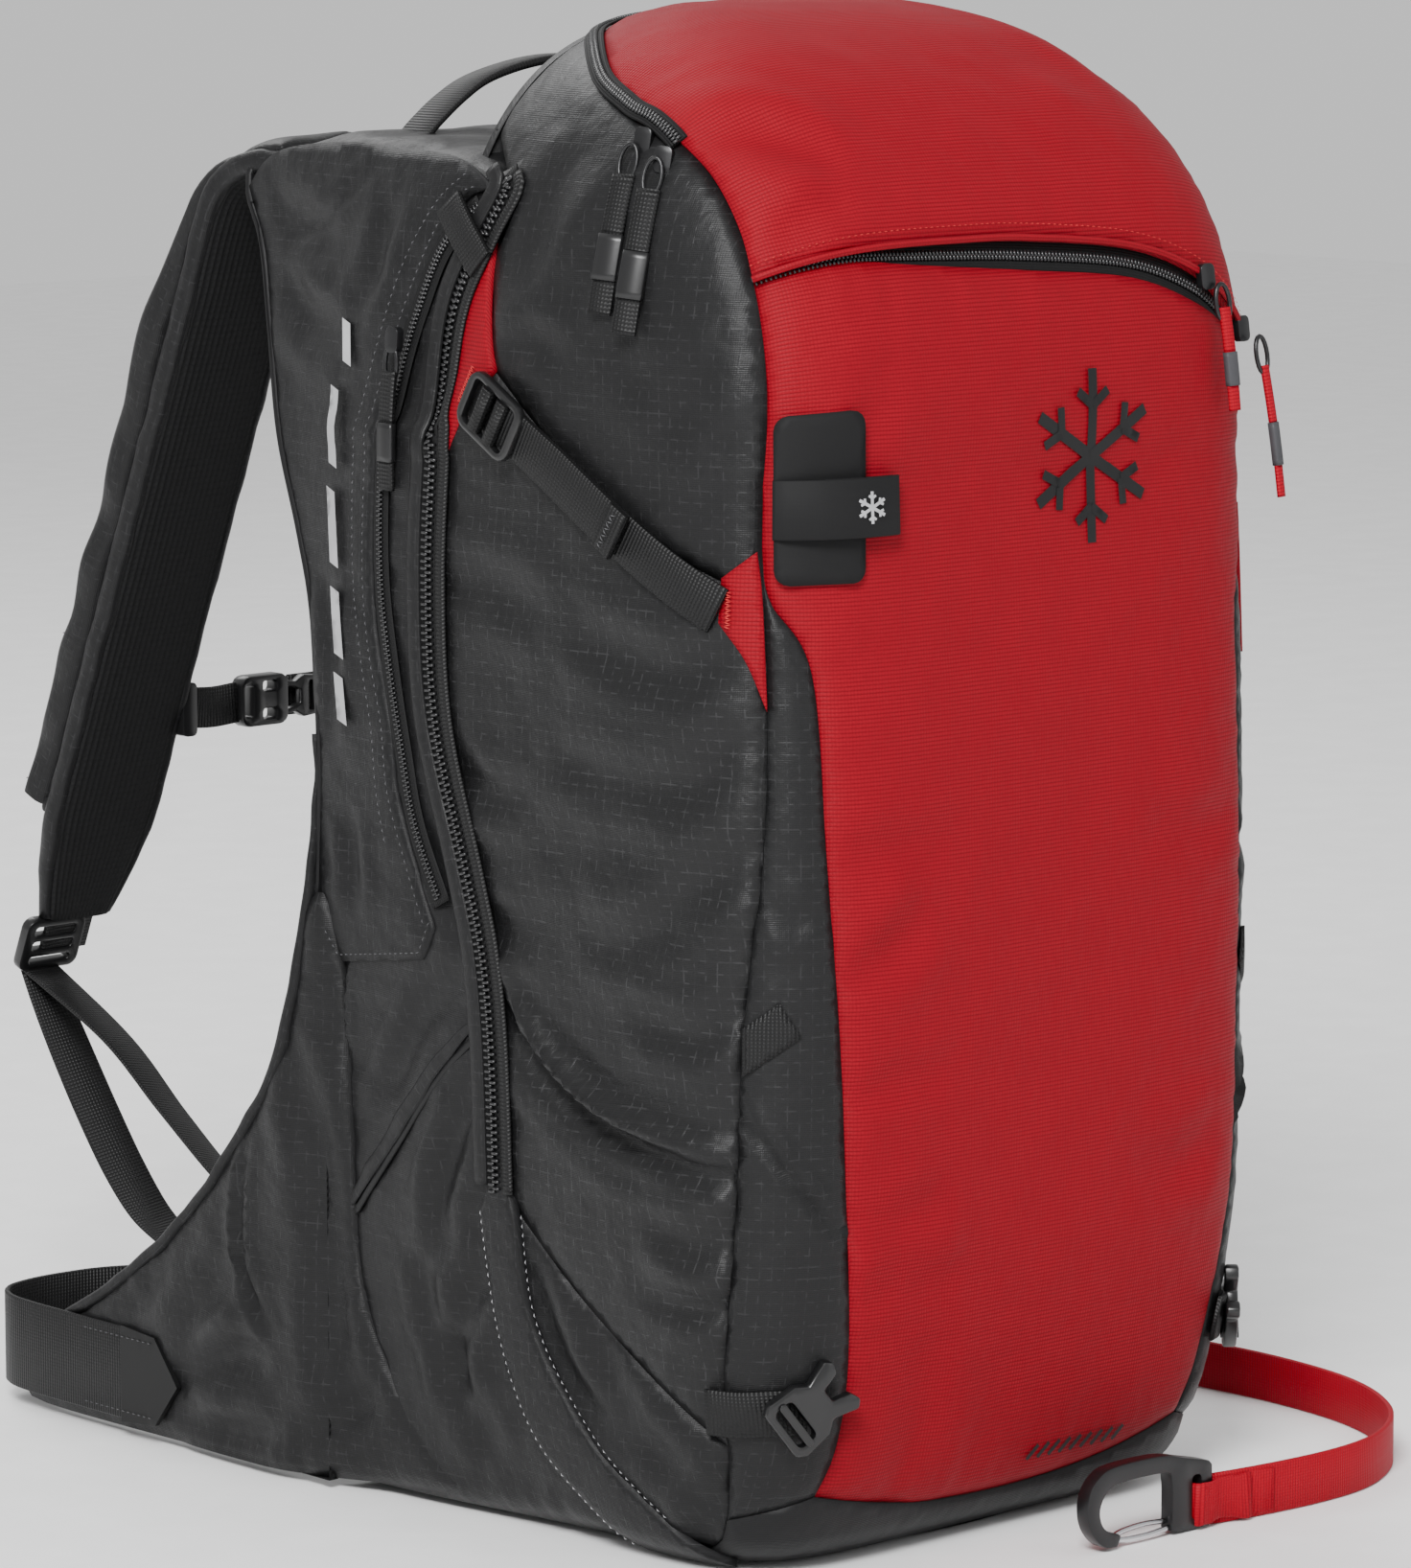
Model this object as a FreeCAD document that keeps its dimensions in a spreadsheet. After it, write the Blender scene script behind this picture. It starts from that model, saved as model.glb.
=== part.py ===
"""Avalanche-airbag ski backpack.

Frame: +Z up, +Y towards the wearer, -Y the pack's outer front, -X the wearer's left.
The origin is on the floor under the pack, on its mid plane. Everything is in millimetres.
"""
import FreeCAD, Part
import math
import os
import Sketcher

V = FreeCAD.Vector

SIZES = {
    "wall": 6,              # thickness of the padded pack walls
    "corner": 38,           # chamfer that stands for the rounded front corners
    "seam_inset": 20,       # the front seams run this far inside the silhouette
    "rim": 22,              # height of the bottom panel's rim
    "pocket_seam": 534,     # height of the front pocket zip
    "pocket_zip": 6,        # width of the front pocket zip
    "lid_cut": 596,         # height where the lid leaves the pack
    "main_zip": 8,          # width of the main zip tape under the lid
    "booster_zip": 8,       # width of the coarse zip round the base unit
    "unit_half": 154,       # half width of the base unit
    "unit_wall": 4,         # wall of the base unit
    "unit_top": 575,        # height of the base unit
    "unit_back": 118,       # plane of the frame sheet
    "sheet_thick": 2,       # frame sheet
    "stay_thick": 2.6,      # aluminium stays
    "stay_width": 20,
    "back_pad": 14,         # thickness of the back pad
    "lumbar_pad": 27,       # thickness of the lumbar pad
    "skin": 3,              # flaps laid on the base unit's sides
    "web": 20,              # webbing width
    "web_thick": 2.5,       # webbing thickness
    "belt_web": 42,         # hip belt webbing width
    "loop_web": 22,         # leg loop webbing width
    "strap_x": 85,          # shoulder strap centre from the mid plane
    "strap_width": 58,
    "strap_thick": 14,
    "yoke_thick": 8,
    "yoke_width": 230,
    "pouch_width": 56,
    "handle_width": 42,
    "lock_x": 96,           # ladder lock centre from the mid plane
    "lock_width": 34,
    "wing_thick": 13,
    "fan_radius": 42,
    "fan_wall": 3,
    "impeller_radius": 34,
    "motor_radius": 14,
    "pull_width": 7,
    "buckle_thick": 6,      # ski strap buckles
    "buckle_height": 34,
    "gap": 0.4,             # running gap between parts that move past each other
}

# Outer form of the zipped-on pack: height, half width, front, back.
LEVELS = (
    (0, 122, -105, 10), (15, 138, -122, 10), (60, 150, -138, 14), (150, 157, -150, 26),
    (300, 158, -152, 46), (455, 158, -146, 58), (520, 158, -143, 58), (577, 140, -117, 58),
    (596, 123, -97, 58), (615, 104, -77, 58), (636, 62, -27, 58), (641, 52, -18, 58),
)
SHOULDER_LEVEL = 520        # above this height the pack tapers into the lid
BACK_CLOSES = 600           # above this height the lid has a back wall of its own

# Straight inner line of the shoulder straps: its top point and its direction in Y and Z.
STRAP_TOP = (285.0, 462.0)
STRAP_ANGLE = math.radians(-67.4)
STRAP_END = 272             # distance from STRAP_TOP to the strap's lower end
POUCH_FROM, POUCH_TO = -62, 222

FAN_CENTRE = (0, 380)       # X and Z of the fan axis

doc = FreeCAD.newDocument("SkiBackpack")
sheet = doc.addObject("Spreadsheet::Sheet", "Sizes")
for row, (alias, amount) in enumerate(SIZES.items(), start=1):
    sheet.set(f"A{row}", alias)
    sheet.set(f"B{row}", str(amount))
    sheet.setAlias(f"B{row}", alias)
doc.recompute()

parts = []


def size(alias):
    """Value of a cell of the size sheet."""
    return float(sheet.get(alias))


def keep(feature, name):
    """Mark a document object as a sub-part of the backpack."""
    feature.Label = name
    parts.append(feature)
    return feature


def level_at(height, column):
    """Outer form between two levels: column 1 half width, 2 front, 3 back."""
    for low, high in zip(LEVELS, LEVELS[1:]):
        if low[0] <= height <= high[0]:
            share = (height - low[0]) / (high[0] - low[0])
            return low[column] + share * (high[column] - low[column])
    raise ValueError(f"no pack at height {height}")


def on_strap(along, out):
    """Point (Y, Z) along the strap's inner line and out from it."""
    y = STRAP_TOP[0] + along * math.cos(STRAP_ANGLE) - out * math.sin(STRAP_ANGLE)
    z = STRAP_TOP[1] + along * math.sin(STRAP_ANGLE) + out * math.cos(STRAP_ANGLE)
    return y, z


def band(path, thickness):
    """Outline of a strip of even thickness whose middle follows an open path."""
    half = thickness / 2
    left, right = [], []
    for i, (a, b) in enumerate(path):
        before = path[max(i - 1, 0)]
        after = path[min(i + 1, len(path) - 1)]
        d1 = V(a - before[0], b - before[1], 0)
        d2 = V(after[0] - a, after[1] - b, 0)
        d1 = (d1 if d1.Length else d2).normalize()
        d2 = (d2 if d2.Length else d1).normalize()
        middle = (d1 + d2).normalize()
        reach = half / middle.dot(d1)
        left.append((a - middle.y * reach, b + middle.x * reach))
        right.append((a + middle.y * reach, b - middle.x * reach))
    return left + right[::-1]


def rectangle(low_a, low_b, high_a, high_b):
    return [(low_a, low_b), (high_a, low_b), (high_a, high_b), (low_a, high_b)]


def mirror(points):
    """The same outline on the other side of the first axis."""
    return [(-a, b) for a, b in points]


def outline(body, plane, offset, points):
    """Closed sketch on an origin plane of its body, with every corner held in place."""
    sketch = body.newObject("Sketcher::SketchObject", f"{body.Name}Sketch")
    origin_plane = [f for f in body.Origin.OriginFeatures if f.Role == f"{plane}_Plane"][0]
    sketch.AttachmentSupport = [(origin_plane, "")]
    sketch.MapMode = "FlatFace"
    sketch.AttachmentOffset = FreeCAD.Placement(V(0, 0, offset), FreeCAD.Rotation())
    count = len(points)
    for i in range(count):
        start, end = V(*points[i], 0), V(*points[(i + 1) % count], 0)
        sketch.addGeometry(Part.LineSegment(start, end))
    for i, (a, b) in enumerate(points):
        sketch.addConstraint(Sketcher.Constraint("Coincident", i, 2, (i + 1) % count, 1))
        sketch.addConstraint(Sketcher.Constraint("DistanceX", -1, 1, i, 1, a))
        sketch.addConstraint(Sketcher.Constraint("DistanceY", -1, 1, i, 1, b))
    return sketch


def pad(body, plane, points, middle, thickness):
    """Pad an outline on both sides of a plane; thickness is an expression or a number.

    The middle is measured along +X for YZ, +Y for XZ and +Z for XY.
    """
    sketch = outline(body, plane, -middle if plane == "XZ" else middle, points)
    feature = body.newObject("PartDesign::Pad", f"{body.Name}Pad")
    feature.Profile = sketch
    feature.SideType = "Symmetric"
    if isinstance(thickness, str):
        feature.setExpression("Length", thickness)
    else:
        feature.Length = thickness
    return feature


def pocket(body, plane, points, middle, depth):
    """Cut an outline out of a body on both sides of a plane."""
    sketch = outline(body, plane, -middle if plane == "XZ" else middle, points)
    feature = body.newObject("PartDesign::Pocket", f"{body.Name}Pocket")
    feature.Profile = sketch
    feature.SideType = "Symmetric"
    feature.Length = depth
    return feature


def plate(name, plane, points, middle, thickness):
    """A sub-part that is one padded outline."""
    body = doc.addObject("PartDesign::Body", name)
    pad(body, plane, points, middle, thickness)
    return body


def combine(kind, base, tool, name):
    """Boolean of two document objects: Part::Common, Part::Cut or Part::Fuse."""
    feature = doc.addObject(kind, name)
    feature.Base = base
    feature.Tool = tool
    return feature


def loft(body, kind, levels):
    """Ruled loft through level sections with chamfered front corners."""
    corner = size("corner")
    sketches = []
    for height, half, front, back in levels:
        points = [(-half, back), (-half, front + corner), (-half + corner, front),
                  (half - corner, front), (half, front + corner), (half, back)]
        sketches.append(outline(body, "XY", height, points))
    feature = body.newObject(kind, f"{body.Name}Loft")
    feature.Profile = sketches[0]
    feature.Sections = sketches[1:]
    feature.Ruled = True
    return feature


def inner_levels():
    """Levels of the main compartment, open towards the base unit below the lid."""
    wall = size("wall")
    levels = []
    for height, half, front, back in LEVELS:
        if height > SHOULDER_LEVEL:
            height -= wall
        height = max(height, wall)
        back = back - wall if height > BACK_CLOSES else back + 2 * wall
        levels.append((height, half - wall, front + wall, back))
    return levels


def make_pack_panels():
    """Split the zipped-on pack's wall into its sewn panels, its zips and its lid."""
    shell = doc.addObject("PartDesign::Body", "PackShell")
    loft(shell, "PartDesign::AdditiveLoft", LEVELS)
    loft(shell, "PartDesign::SubtractiveLoft", inner_levels())

    rim, seam, cut = size("rim"), size("pocket_seam"), size("lid_cut")
    zip_low = cut - size("main_zip")
    top_low = seam + size("pocket_zip")
    beyond = 400

    def seam_line(low, high):
        heights = [low] + [row[0] for row in LEVELS if low < row[0] < high] + [high]
        return [(level_at(h, 1) - size("seam_inset"), h) for h in heights]

    def front_region(name, low, high):
        edge = seam_line(low, high)
        return plate(name, "XZ", mirror(edge)[::-1] + edge, -beyond / 2 - 20, beyond)

    def side_region(name, sign):
        edge = [(sign * a, b) for a, b in seam_line(rim, zip_low)]
        return plate(name, "XZ", edge + [(sign * beyond, zip_low), (sign * beyond, rim)], 0, 2 * beyond)

    def slab(name, low, high):
        return plate(name, "XZ", rectangle(-beyond, low, beyond, high), 0, 2 * beyond)

    zip_path = [(row[3] - size("booster_zip") / 2 + 1, row[0]) for row in LEVELS[1:8]]
    zip_path[0] = (level_at(rim, 3) - size("booster_zip") / 2 + 1, rim)
    zip_path[-1] = (zip_path[-1][0], zip_low)
    zip_region = plate("ZipRegion", "YZ", band(zip_path, size("booster_zip") + 2), 0, 2 * beyond)

    def panel(name, region):
        return combine("Part::Common", shell, region, name)

    keep(panel("BasePanel", slab("BaseRegion", -1, rim)), "base_panel")
    keep(panel("FrontPanel", front_region("FrontRegion", rim, seam)), "front_panel")
    keep(panel("PocketZip", front_region("PocketZipRegion", seam, top_low)), "front_pocket_zip")
    keep(panel("TopPanel", front_region("TopRegion", top_low, zip_low)), "top_panel")
    keep(panel("MainZip", slab("MainZipRegion", zip_low, cut)), "main_zip_tape")
    keep(panel("Lid", slab("LidRegion", cut + size("gap"), beyond * 2)), "lid")
    keep(panel("BoosterZip", zip_region), "booster_zip")
    for side, sign in (("left", -1), ("right", 1)):
        whole = panel(f"WholeSide{side}", side_region(f"SideRegion{side}", sign))
        keep(combine("Part::Cut", whole, zip_region, f"SidePanel{side}"), f"side_panel_{side}")


def arch(half, low, high, top_half):
    """Outline (X, Z) of the base unit and of the sheets and pads that follow its shape."""
    shoulder = LEVELS[5][0]
    middle = (half + top_half) / 2 + 10
    right = [(half, low), (half, shoulder), (middle, (shoulder + high) / 2), (top_half, high)]
    return right + mirror(right)[::-1]


def make_base_unit():
    """Shell, divider, frame sheet, stays and pads of the base unit."""
    half, wall = size("unit_half"), size("unit_wall")
    top, back = size("unit_top"), size("unit_back")
    profile = [(row[3], row[0]) for row in LEVELS[:6]]
    side_outline = profile + [(LEVELS[5][3], top), (back, top), (back, 0)]
    block = plate("UnitBlock", "YZ", side_outline, 0, 2 * half)
    outer = plate("UnitArch", "XZ", arch(half, 0, top, 100), 0, 400)
    hollow = plate("UnitHollow", "XZ", arch(half - wall, wall, top - wall, 97), 0, 400)
    full = combine("Part::Common", block, outer, "UnitFull")
    ring = combine("Part::Cut", full, hollow, "UnitRing")

    tongue_top = size("lid_cut") + 5
    front = [(y + 2, z) for y, z in profile] + [(LEVELS[5][3] + 2, tongue_top)]
    front[0] = (front[0][0], wall)
    sheet_band = plate("DividerBand", "YZ", band(front, 3), 0, 2 * half)
    sheet_outline = plate("DividerOutline", "XZ", arch(half - wall, wall, tongue_top, 88), 0, 400)
    divider = combine("Part::Common", sheet_band, sheet_outline, "Divider")
    keep(combine("Part::Cut", ring, divider, "UnitShell"), "base_unit_shell")
    keep(divider, "divider_panel")

    thick = size("sheet_thick")
    pad_front = back + thick + size("stay_thick") + size("gap")
    keep(plate("FrameSheet", "XZ", arch(138, 8, 530, 100), back + thick / 2, "Sizes.sheet_thick"), "frame_sheet")
    stays = doc.addObject("PartDesign::Body", "FrameStays")
    stays.AllowCompound = True
    stay_half = size("stay_width") / 2
    for x in (-60, 60):
        pad(stays, "XZ", rectangle(x - stay_half, 30, x + stay_half, 505),
            back + thick + size("stay_thick") / 2, "Sizes.stay_thick")
    keep(stays, "frame_stays")
    keep(plate("BackPad", "XZ", arch(132, 116, 528, 92), pad_front + size("back_pad") / 2,
               "Sizes.back_pad"), "back_pad")
    keep(plate("LumbarPad", "XZ", rectangle(-82, 14, 82, 112), pad_front + size("lumbar_pad") / 2,
               "Sizes.lumbar_pad"), "lumbar_pad")


def cylinder(name, radius, y_low, y_high):
    """Cylinder on the fan axis, which runs along Y."""
    feature = doc.addObject("Part::Cylinder", name)
    feature.setExpression("Radius", radius)
    feature.Height = y_high - y_low
    x, z = FAN_CENTRE
    feature.Placement = FreeCAD.Placement(V(x, y_high, z), FreeCAD.Rotation(V(1, 0, 0), 90))
    return feature


def make_airbag_system():
    """Folded airbag, fan with its impeller and motor, and the battery, inside the base unit."""
    keep(plate("AirbagBundle", "XZ", rectangle(-100, 440, 100, 545), 90, 44), "airbag_bundle")
    drum = cylinder("FanDrum", "Sizes.fan_radius", 70, 106)
    bore = cylinder("FanBore", "Sizes.fan_radius - Sizes.fan_wall", 66, 103)
    keep(combine("Part::Cut", drum, bore, "FanHousing"), "fan_housing")
    keep(cylinder("FanMotor", "Sizes.motor_radius", 93, 103), "fan_motor")
    disc = cylinder("ImpellerDisc", "Sizes.impeller_radius", 74, 92)
    blades = cylinder("ImpellerEye", "Sizes.motor_radius", 73, 86)
    keep(combine("Part::Cut", disc, blades, "Impeller"), "impeller")
    keep(plate("BatteryPack", "XZ", rectangle(-60, 40, 60, 110), 80, 36), "battery_pack")


def make_side_flaps():
    """Covers laid on the sides: the airbag flap above and the belt flap below."""
    airbag = [(64, 262), (84, 402), (84, 450), (76, 520), (66, 560), (86, 560), (112, 520),
              (116, 402), (116, 262), (104, 244)]
    belt = [(-48, 3), (110, 3), (110, 236), (40, 150), (24, 85), (-25, 30)]
    x_airbag = size("unit_half") + size("gap") + size("skin") / 2
    x_belt = LEVELS[3][1] + 1 + size("skin") / 2
    for side, sign in (("left", -1), ("right", 1)):
        keep(plate(f"AirbagFlap{side}", "YZ", airbag, sign * x_airbag, "Sizes.skin"),
             f"airbag_flap_{side}")
        keep(plate(f"SideFlap{side}", "YZ", belt, sign * x_belt, "Sizes.skin"), f"side_flap_{side}")


def make_shoulder_straps():
    """Yoke, straps, ladder locks and the webbing that runs down to the base unit."""
    yoke = [(123, 535), (128, 558), (146, 570), (185, 574), (221, 571)]
    keep(plate("Yoke", "YZ", band(yoke, size("yoke_thick")), 0, "Sizes.yoke_width"), "yoke")
    thick = size("strap_thick")
    strap = [(224, 568), (247, 556), on_strap(POUCH_FROM, thick / 2), on_strap(STRAP_END, thick / 2)]
    lock_low = STRAP_END + 0.5
    lock = [on_strap(*p) for p in rectangle(lock_low, 1, lock_low + 27, 12)]
    slot = [on_strap(*p) for p in rectangle(lock_low + 17, 0, lock_low + 22, 13)]
    start = on_strap(lock_low + 32, 8)
    main = [start, (348, 161), (266, 106), (190, 74), (124, 52)]
    tail = [start, (381, 158), (360, 134), (348, 106), (324, 86), (304, 70)]
    for side, sign in (("left", -1), ("right", 1)):
        keep(plate(f"ShoulderStrap{side}", "YZ", band(strap, thick), sign * size("strap_x"),
                   "Sizes.strap_width"), f"shoulder_strap_{side}")
        frame = plate(f"LadderLock{side}", "YZ", lock, sign * size("lock_x"), "Sizes.lock_width")
        pocket(frame, "YZ", slot, sign * size("lock_x"), size("web") + 4)
        keep(frame, f"ladder_lock_{side}")
        webbing = plate(f"StrapWebbing{side}", "YZ", band(main, size("web_thick")),
                        sign * (size("lock_x") + 2), "Sizes.web")
        pad(webbing, "YZ", band(tail, size("web_thick")), sign * (size("lock_x") + 2), "Sizes.web")
        keep(webbing, f"strap_webbing_{side}")


def make_trigger():
    """Pouch on the left strap with a pull handle that slides out of its lower end."""
    low, high = size("strap_thick") + size("gap"), 37
    x = -size("strap_x")
    pouch_outline = [on_strap(POUCH_FROM, low), on_strap(POUCH_TO, low), on_strap(POUCH_TO, high - 6),
                     on_strap(POUCH_TO - 14, high), on_strap(POUCH_FROM + 26, high)]
    pouch = plate("TriggerPouch", "YZ", pouch_outline, x, "Sizes.pouch_width")
    cave = [on_strap(*p) for p in rectangle(138, 18, POUCH_TO + 5, 32)]
    pocket(pouch, "YZ", cave, x, size("handle_width") + 4)
    keep(pouch, "trigger_pouch")
    grip = [on_strap(*p) for p in rectangle(142, 19.5, POUCH_TO - 4, 30.5)]
    keep(plate("TriggerHandle", "YZ", grip, x, "Sizes.handle_width"), "trigger_handle")


def make_haul_loop():
    """Webbing grab loop that stands across the yoke."""
    half_path = [(80, 577.5), (52, 599), (20, 609)]
    path = mirror(half_path) + half_path[::-1]
    keep(plate("HaulLoop", "XZ", band(path, size("web_thick")), 150, "Sizes.web"), "haul_loop")


def make_sternum_strap():
    """Clips on the shoulder straps, two webbings and a side-release buckle."""
    inner = size("strap_x") - size("strap_width") / 2
    tall = rectangle(348, 298, 362, 322)
    flat = rectangle(354, 300, 356.4, 320)
    lifted = rectangle(357.9, 300, 360.3, 320)
    clip = 7
    clips = doc.addObject("PartDesign::Body", "SternumClips")
    clips.AllowCompound = True
    for sign in (-1, 1):
        pad(clips, "YZ", tall, sign * (inner - 0.3 - clip / 2), clip)
    keep(clips, "sternum_clips")
    clip_end = inner - 0.3 - clip
    webbing = doc.addObject("PartDesign::Body", "SternumWebbing")
    webbing.AllowCompound = True
    pad(webbing, "YZ", flat, -(clip_end + 20) / 2, clip_end - 20)
    pad(webbing, "YZ", lifted, (clip_end + 12) / 2, clip_end - 12)
    keep(webbing, "sternum_webbing")
    female = plate("SternumFemale", "YZ", rectangle(350, 298, 360, 322), -6, 28)
    pocket(female, "YZ", rectangle(352.4, 303.4, 357.6, 316.6), -1, 22)
    keep(female, "sternum_female")
    male = plate("SternumMale", "YZ", rectangle(350, 300, 357.5, 320), 18.2, 19.6)
    pad(male, "YZ", rectangle(353, 304, 357, 316), -0.5, 19)
    keep(male, "sternum_male")


def make_hip_belt():
    """Wings behind the base unit's back edge, their webbing, and the hook and loop plates."""
    wing = [(121, 4), (326, 4), (336, 14), (327, 35), (285, 60), (230, 100), (186, 145),
            (162, 178), (148, 210), (139, 253), (136, 290), (121, 290)]
    face = 149 + size("wing_thick")
    out = face + 0.2 + size("web_thick") / 2
    path = [(out, 262), (out, 340), (out - 10, 360), (out - 32, 369), (out - 66, 366), (out - 88, 352)]
    end = out - 89.5
    plates = {"left": "hip_hook_plate", "right": "hip_loop_plate"}
    for side, sign in (("left", -1), ("right", 1)):
        keep(plate(f"HipWing{side}", "YZ", wing, sign * (face - size("wing_thick") / 2),
                   "Sizes.wing_thick"), f"hip_wing_{side}")
        belt = band([(sign * a, b) for a, b in path], size("web_thick"))
        keep(plate(f"HipWebbing{side}", "XY", belt, 30, "Sizes.belt_web"), f"hip_webbing_{side}")
        near, far = sorted((sign * end, sign * (end - 30)))
        buckle = plate(f"HipPlate{side}", "XZ", rectangle(near, 5, far, 55), 350, 6)
        slot_middle = sign * (end - 22)
        pocket(buckle, "XZ", rectangle(slot_middle - 3, 11, slot_middle + 3, 49), 350, 12)
        keep(buckle, plates[side])


def make_compression_straps():
    """Diagonal webbing with a buckle on each side of the pack."""
    high, low = (20, 479), (-124, 408)
    slope = math.atan2(high[1] - low[1], high[0] - low[0])
    inner_end = (high[0] - 38 * math.cos(slope), high[1] - 38 * math.sin(slope))
    face = LEVELS[5][1] + size("gap")
    for side, sign in (("left", -1), ("right", 1)):
        middle = face + size("web_thick") / 2
        keep(plate(f"CompressionStrap{side}", "YZ", band([low, high], size("web")), sign * middle,
                   "Sizes.web_thick"), f"compression_strap_{side}")
        middle = face + size("web_thick") + 3
        keep(plate(f"CompressionBuckle{side}", "YZ", band([inner_end, high], 26), sign * middle, 6),
             f"compression_buckle_{side}")


def make_ski_straps():
    """Webbing round the lower front corners, each with a buckle that tips open."""
    height = 75
    half, front, corner = level_at(height + 10, 1) + 3.2, level_at(height + 10, 2) - 3.2, size("corner")
    path = [(half, -60), (half, front + corner), (half - corner, front), (half - corner - 24, front)]
    lift = size("web_thick") / 2 + 0.8 + size("buckle_thick") / 2
    diagonal = math.sqrt(0.5)
    hinge = (half - corner / 2 + lift * diagonal + 4, front + corner / 2 - lift * diagonal + 4)
    tip = (hinge[0] - 36 * diagonal, hinge[1] - 36 * diagonal)
    print(f"ski buckle hinges at X {hinge[0]:.1f}, Y {hinge[1]:.1f}")
    for side, sign in (("left", -1), ("right", 1)):
        strip = band([(sign * a, b) for a, b in path], size("web_thick"))
        keep(plate(f"SkiStrap{side}", "XY", strip, height, "Sizes.web"), f"ski_strap_{side}")
        frame = band([(sign * hinge[0], hinge[1]), (sign * tip[0], tip[1])], size("buckle_thick"))
        keep(plate(f"SkiBuckle{side}", "XY", frame, height, "Sizes.buckle_height"), f"ski_buckle_{side}")


def rounded_path(points, height, share=0.45):
    """Straight runs joined by tangent arcs, as large as the two runs beside each corner allow."""
    corners = [V(x, y, height) for x, y in points]
    edges, start = [], corners[0]
    for before, corner, after in zip(corners, corners[1:], corners[2:]):
        into, away = (corner - before), (after - corner)
        turn = into.getAngle(away)
        reach = share * min(into.Length, away.Length)
        radius = reach / math.tan(turn / 2)
        print(f"leg loop bend radius {radius:.0f} mm")
        first = corner - into.normalize() * reach
        last = corner + away.normalize() * reach
        towards = (first + last) * 0.5 - corner
        middle = corner + towards.normalize() * (math.hypot(radius, reach) - radius)
        edges.append(Part.LineSegment(start, first).toShape())
        edges.append(Part.Arc(first, middle, last).toShape())
        start = last
    edges.append(Part.LineSegment(start, corners[-1]).toShape())
    return Part.Wire(edges)


def make_leg_loop():
    """Flat webbing that lies on edge on the floor, from the right side flap to its hook."""
    flap_face = LEVELS[3][1] + 1 + size("skin")
    route = [(flap_face + 0.2, 106), (203, 106), (238.5, 85.5), (259, 50), (259, 9), (263, -50),
             (252, -112), (213, -163), (150, -186), (79.5, -173)]
    lift, half_thick = 0.2, size("web_thick") / 2
    width = size("loop_web")
    path = rounded_path(route, lift)
    corner = V(route[0][0], route[0][1] - half_thick, lift)
    profile = Part.makePolygon([corner, corner + V(0, 2 * half_thick, 0),
                                corner + V(0, 2 * half_thick, width), corner + V(0, 0, width), corner])
    webbing = doc.addObject("Part::Feature", "LegLoopWebbing")
    webbing.Shape = path.makePipeShell([profile], True, False)
    print(f"leg loop length {path.Length:.0f} mm, volume over section "
          f"{webbing.Shape.Volume / (width * 2 * half_thick):.0f} mm")
    keep(webbing, "leg_loop_webbing")

    rim = [(2, 14), (10, 3), (22, 0.2), (76, 0.2), (78, 4), (78, 28), (60, 33), (46, 36), (18, 36), (8, 32), (2, 24)]
    eye = [(9, 15), (13, 9), (24, 7), (52, 7), (52, 27), (40, 29), (20, 29), (12, 25)]
    hook = plate("LegLoopHook", "XZ", rim, -172, 7)
    pocket(hook, "XZ", eye, -172, 12)
    pocket(hook, "XZ", rectangle(20, -2, 53.5, 9), -172, 12)
    keep(hook, "leg_loop_hook")
    keep(plate("HookGate", "XZ", rectangle(20.5, 2.6, 52, 6.6), -172, 3.4), "hook_gate")


def make_pulls():
    """Zip pulls: two on the main zip, two on the front pocket and one on the airbag zip."""
    slope = band([(-141, 585), (-161.5, 521)], 2.6)
    for name, y in (("main_pull_a", -52.5), ("main_pull_b", -68.5)):
        keep(plate(name.title().replace("_", ""), "XZ", slope, y, "Sizes.pull_width"), name)
    for name, x, high, low in (("pocket_pull_a", 107, 524, 474), ("pocket_pull_b", 136, 502, 433)):
        hanging = rectangle(-151, low, -148.6, high)
        keep(plate(name.title().replace("_", ""), "YZ", hanging, x, "Sizes.pull_width"), name)
    x = -(size("unit_half") + size("skin") + 3)
    keep(plate("AirbagPull", "YZ", rectangle(73, 452, 80, 500), x, 2.6), "airbag_pull")


make_pack_panels()
make_base_unit()
make_airbag_system()
make_side_flaps()
make_shoulder_straps()
make_trigger()
make_haul_loop()
make_sternum_strap()
make_hip_belt()
make_compression_straps()
make_ski_straps()
make_leg_loop()
make_pulls()
doc.recompute()

for item in doc.Objects:
    if "Invalid" in item.State or "Error" in item.State:
        raise RuntimeError(f"{item.Label} did not build: {item.State}")
os.makedirs("parts", exist_ok=True)
for part in parts:
    if part.Shape.isNull() or not part.Shape.isValid():
        raise RuntimeError(f"{part.Label} has no valid shape")
    part.Shape.exportStep(f"parts/{part.Label}.step")
    print(f"{part.Label}: {len(part.Shape.Solids)} solid, {part.Shape.Volume / 1000:.1f} cm3")
print(f"{len(parts)} sub-parts")
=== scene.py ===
"""Looks of an airbag ski backpack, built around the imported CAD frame. Shapes are given in millimetres."""

import math

import bmesh
import bpy
import numpy as np
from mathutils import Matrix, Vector, noise
from mathutils.geometry import delaunay_2d_cdt


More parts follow.
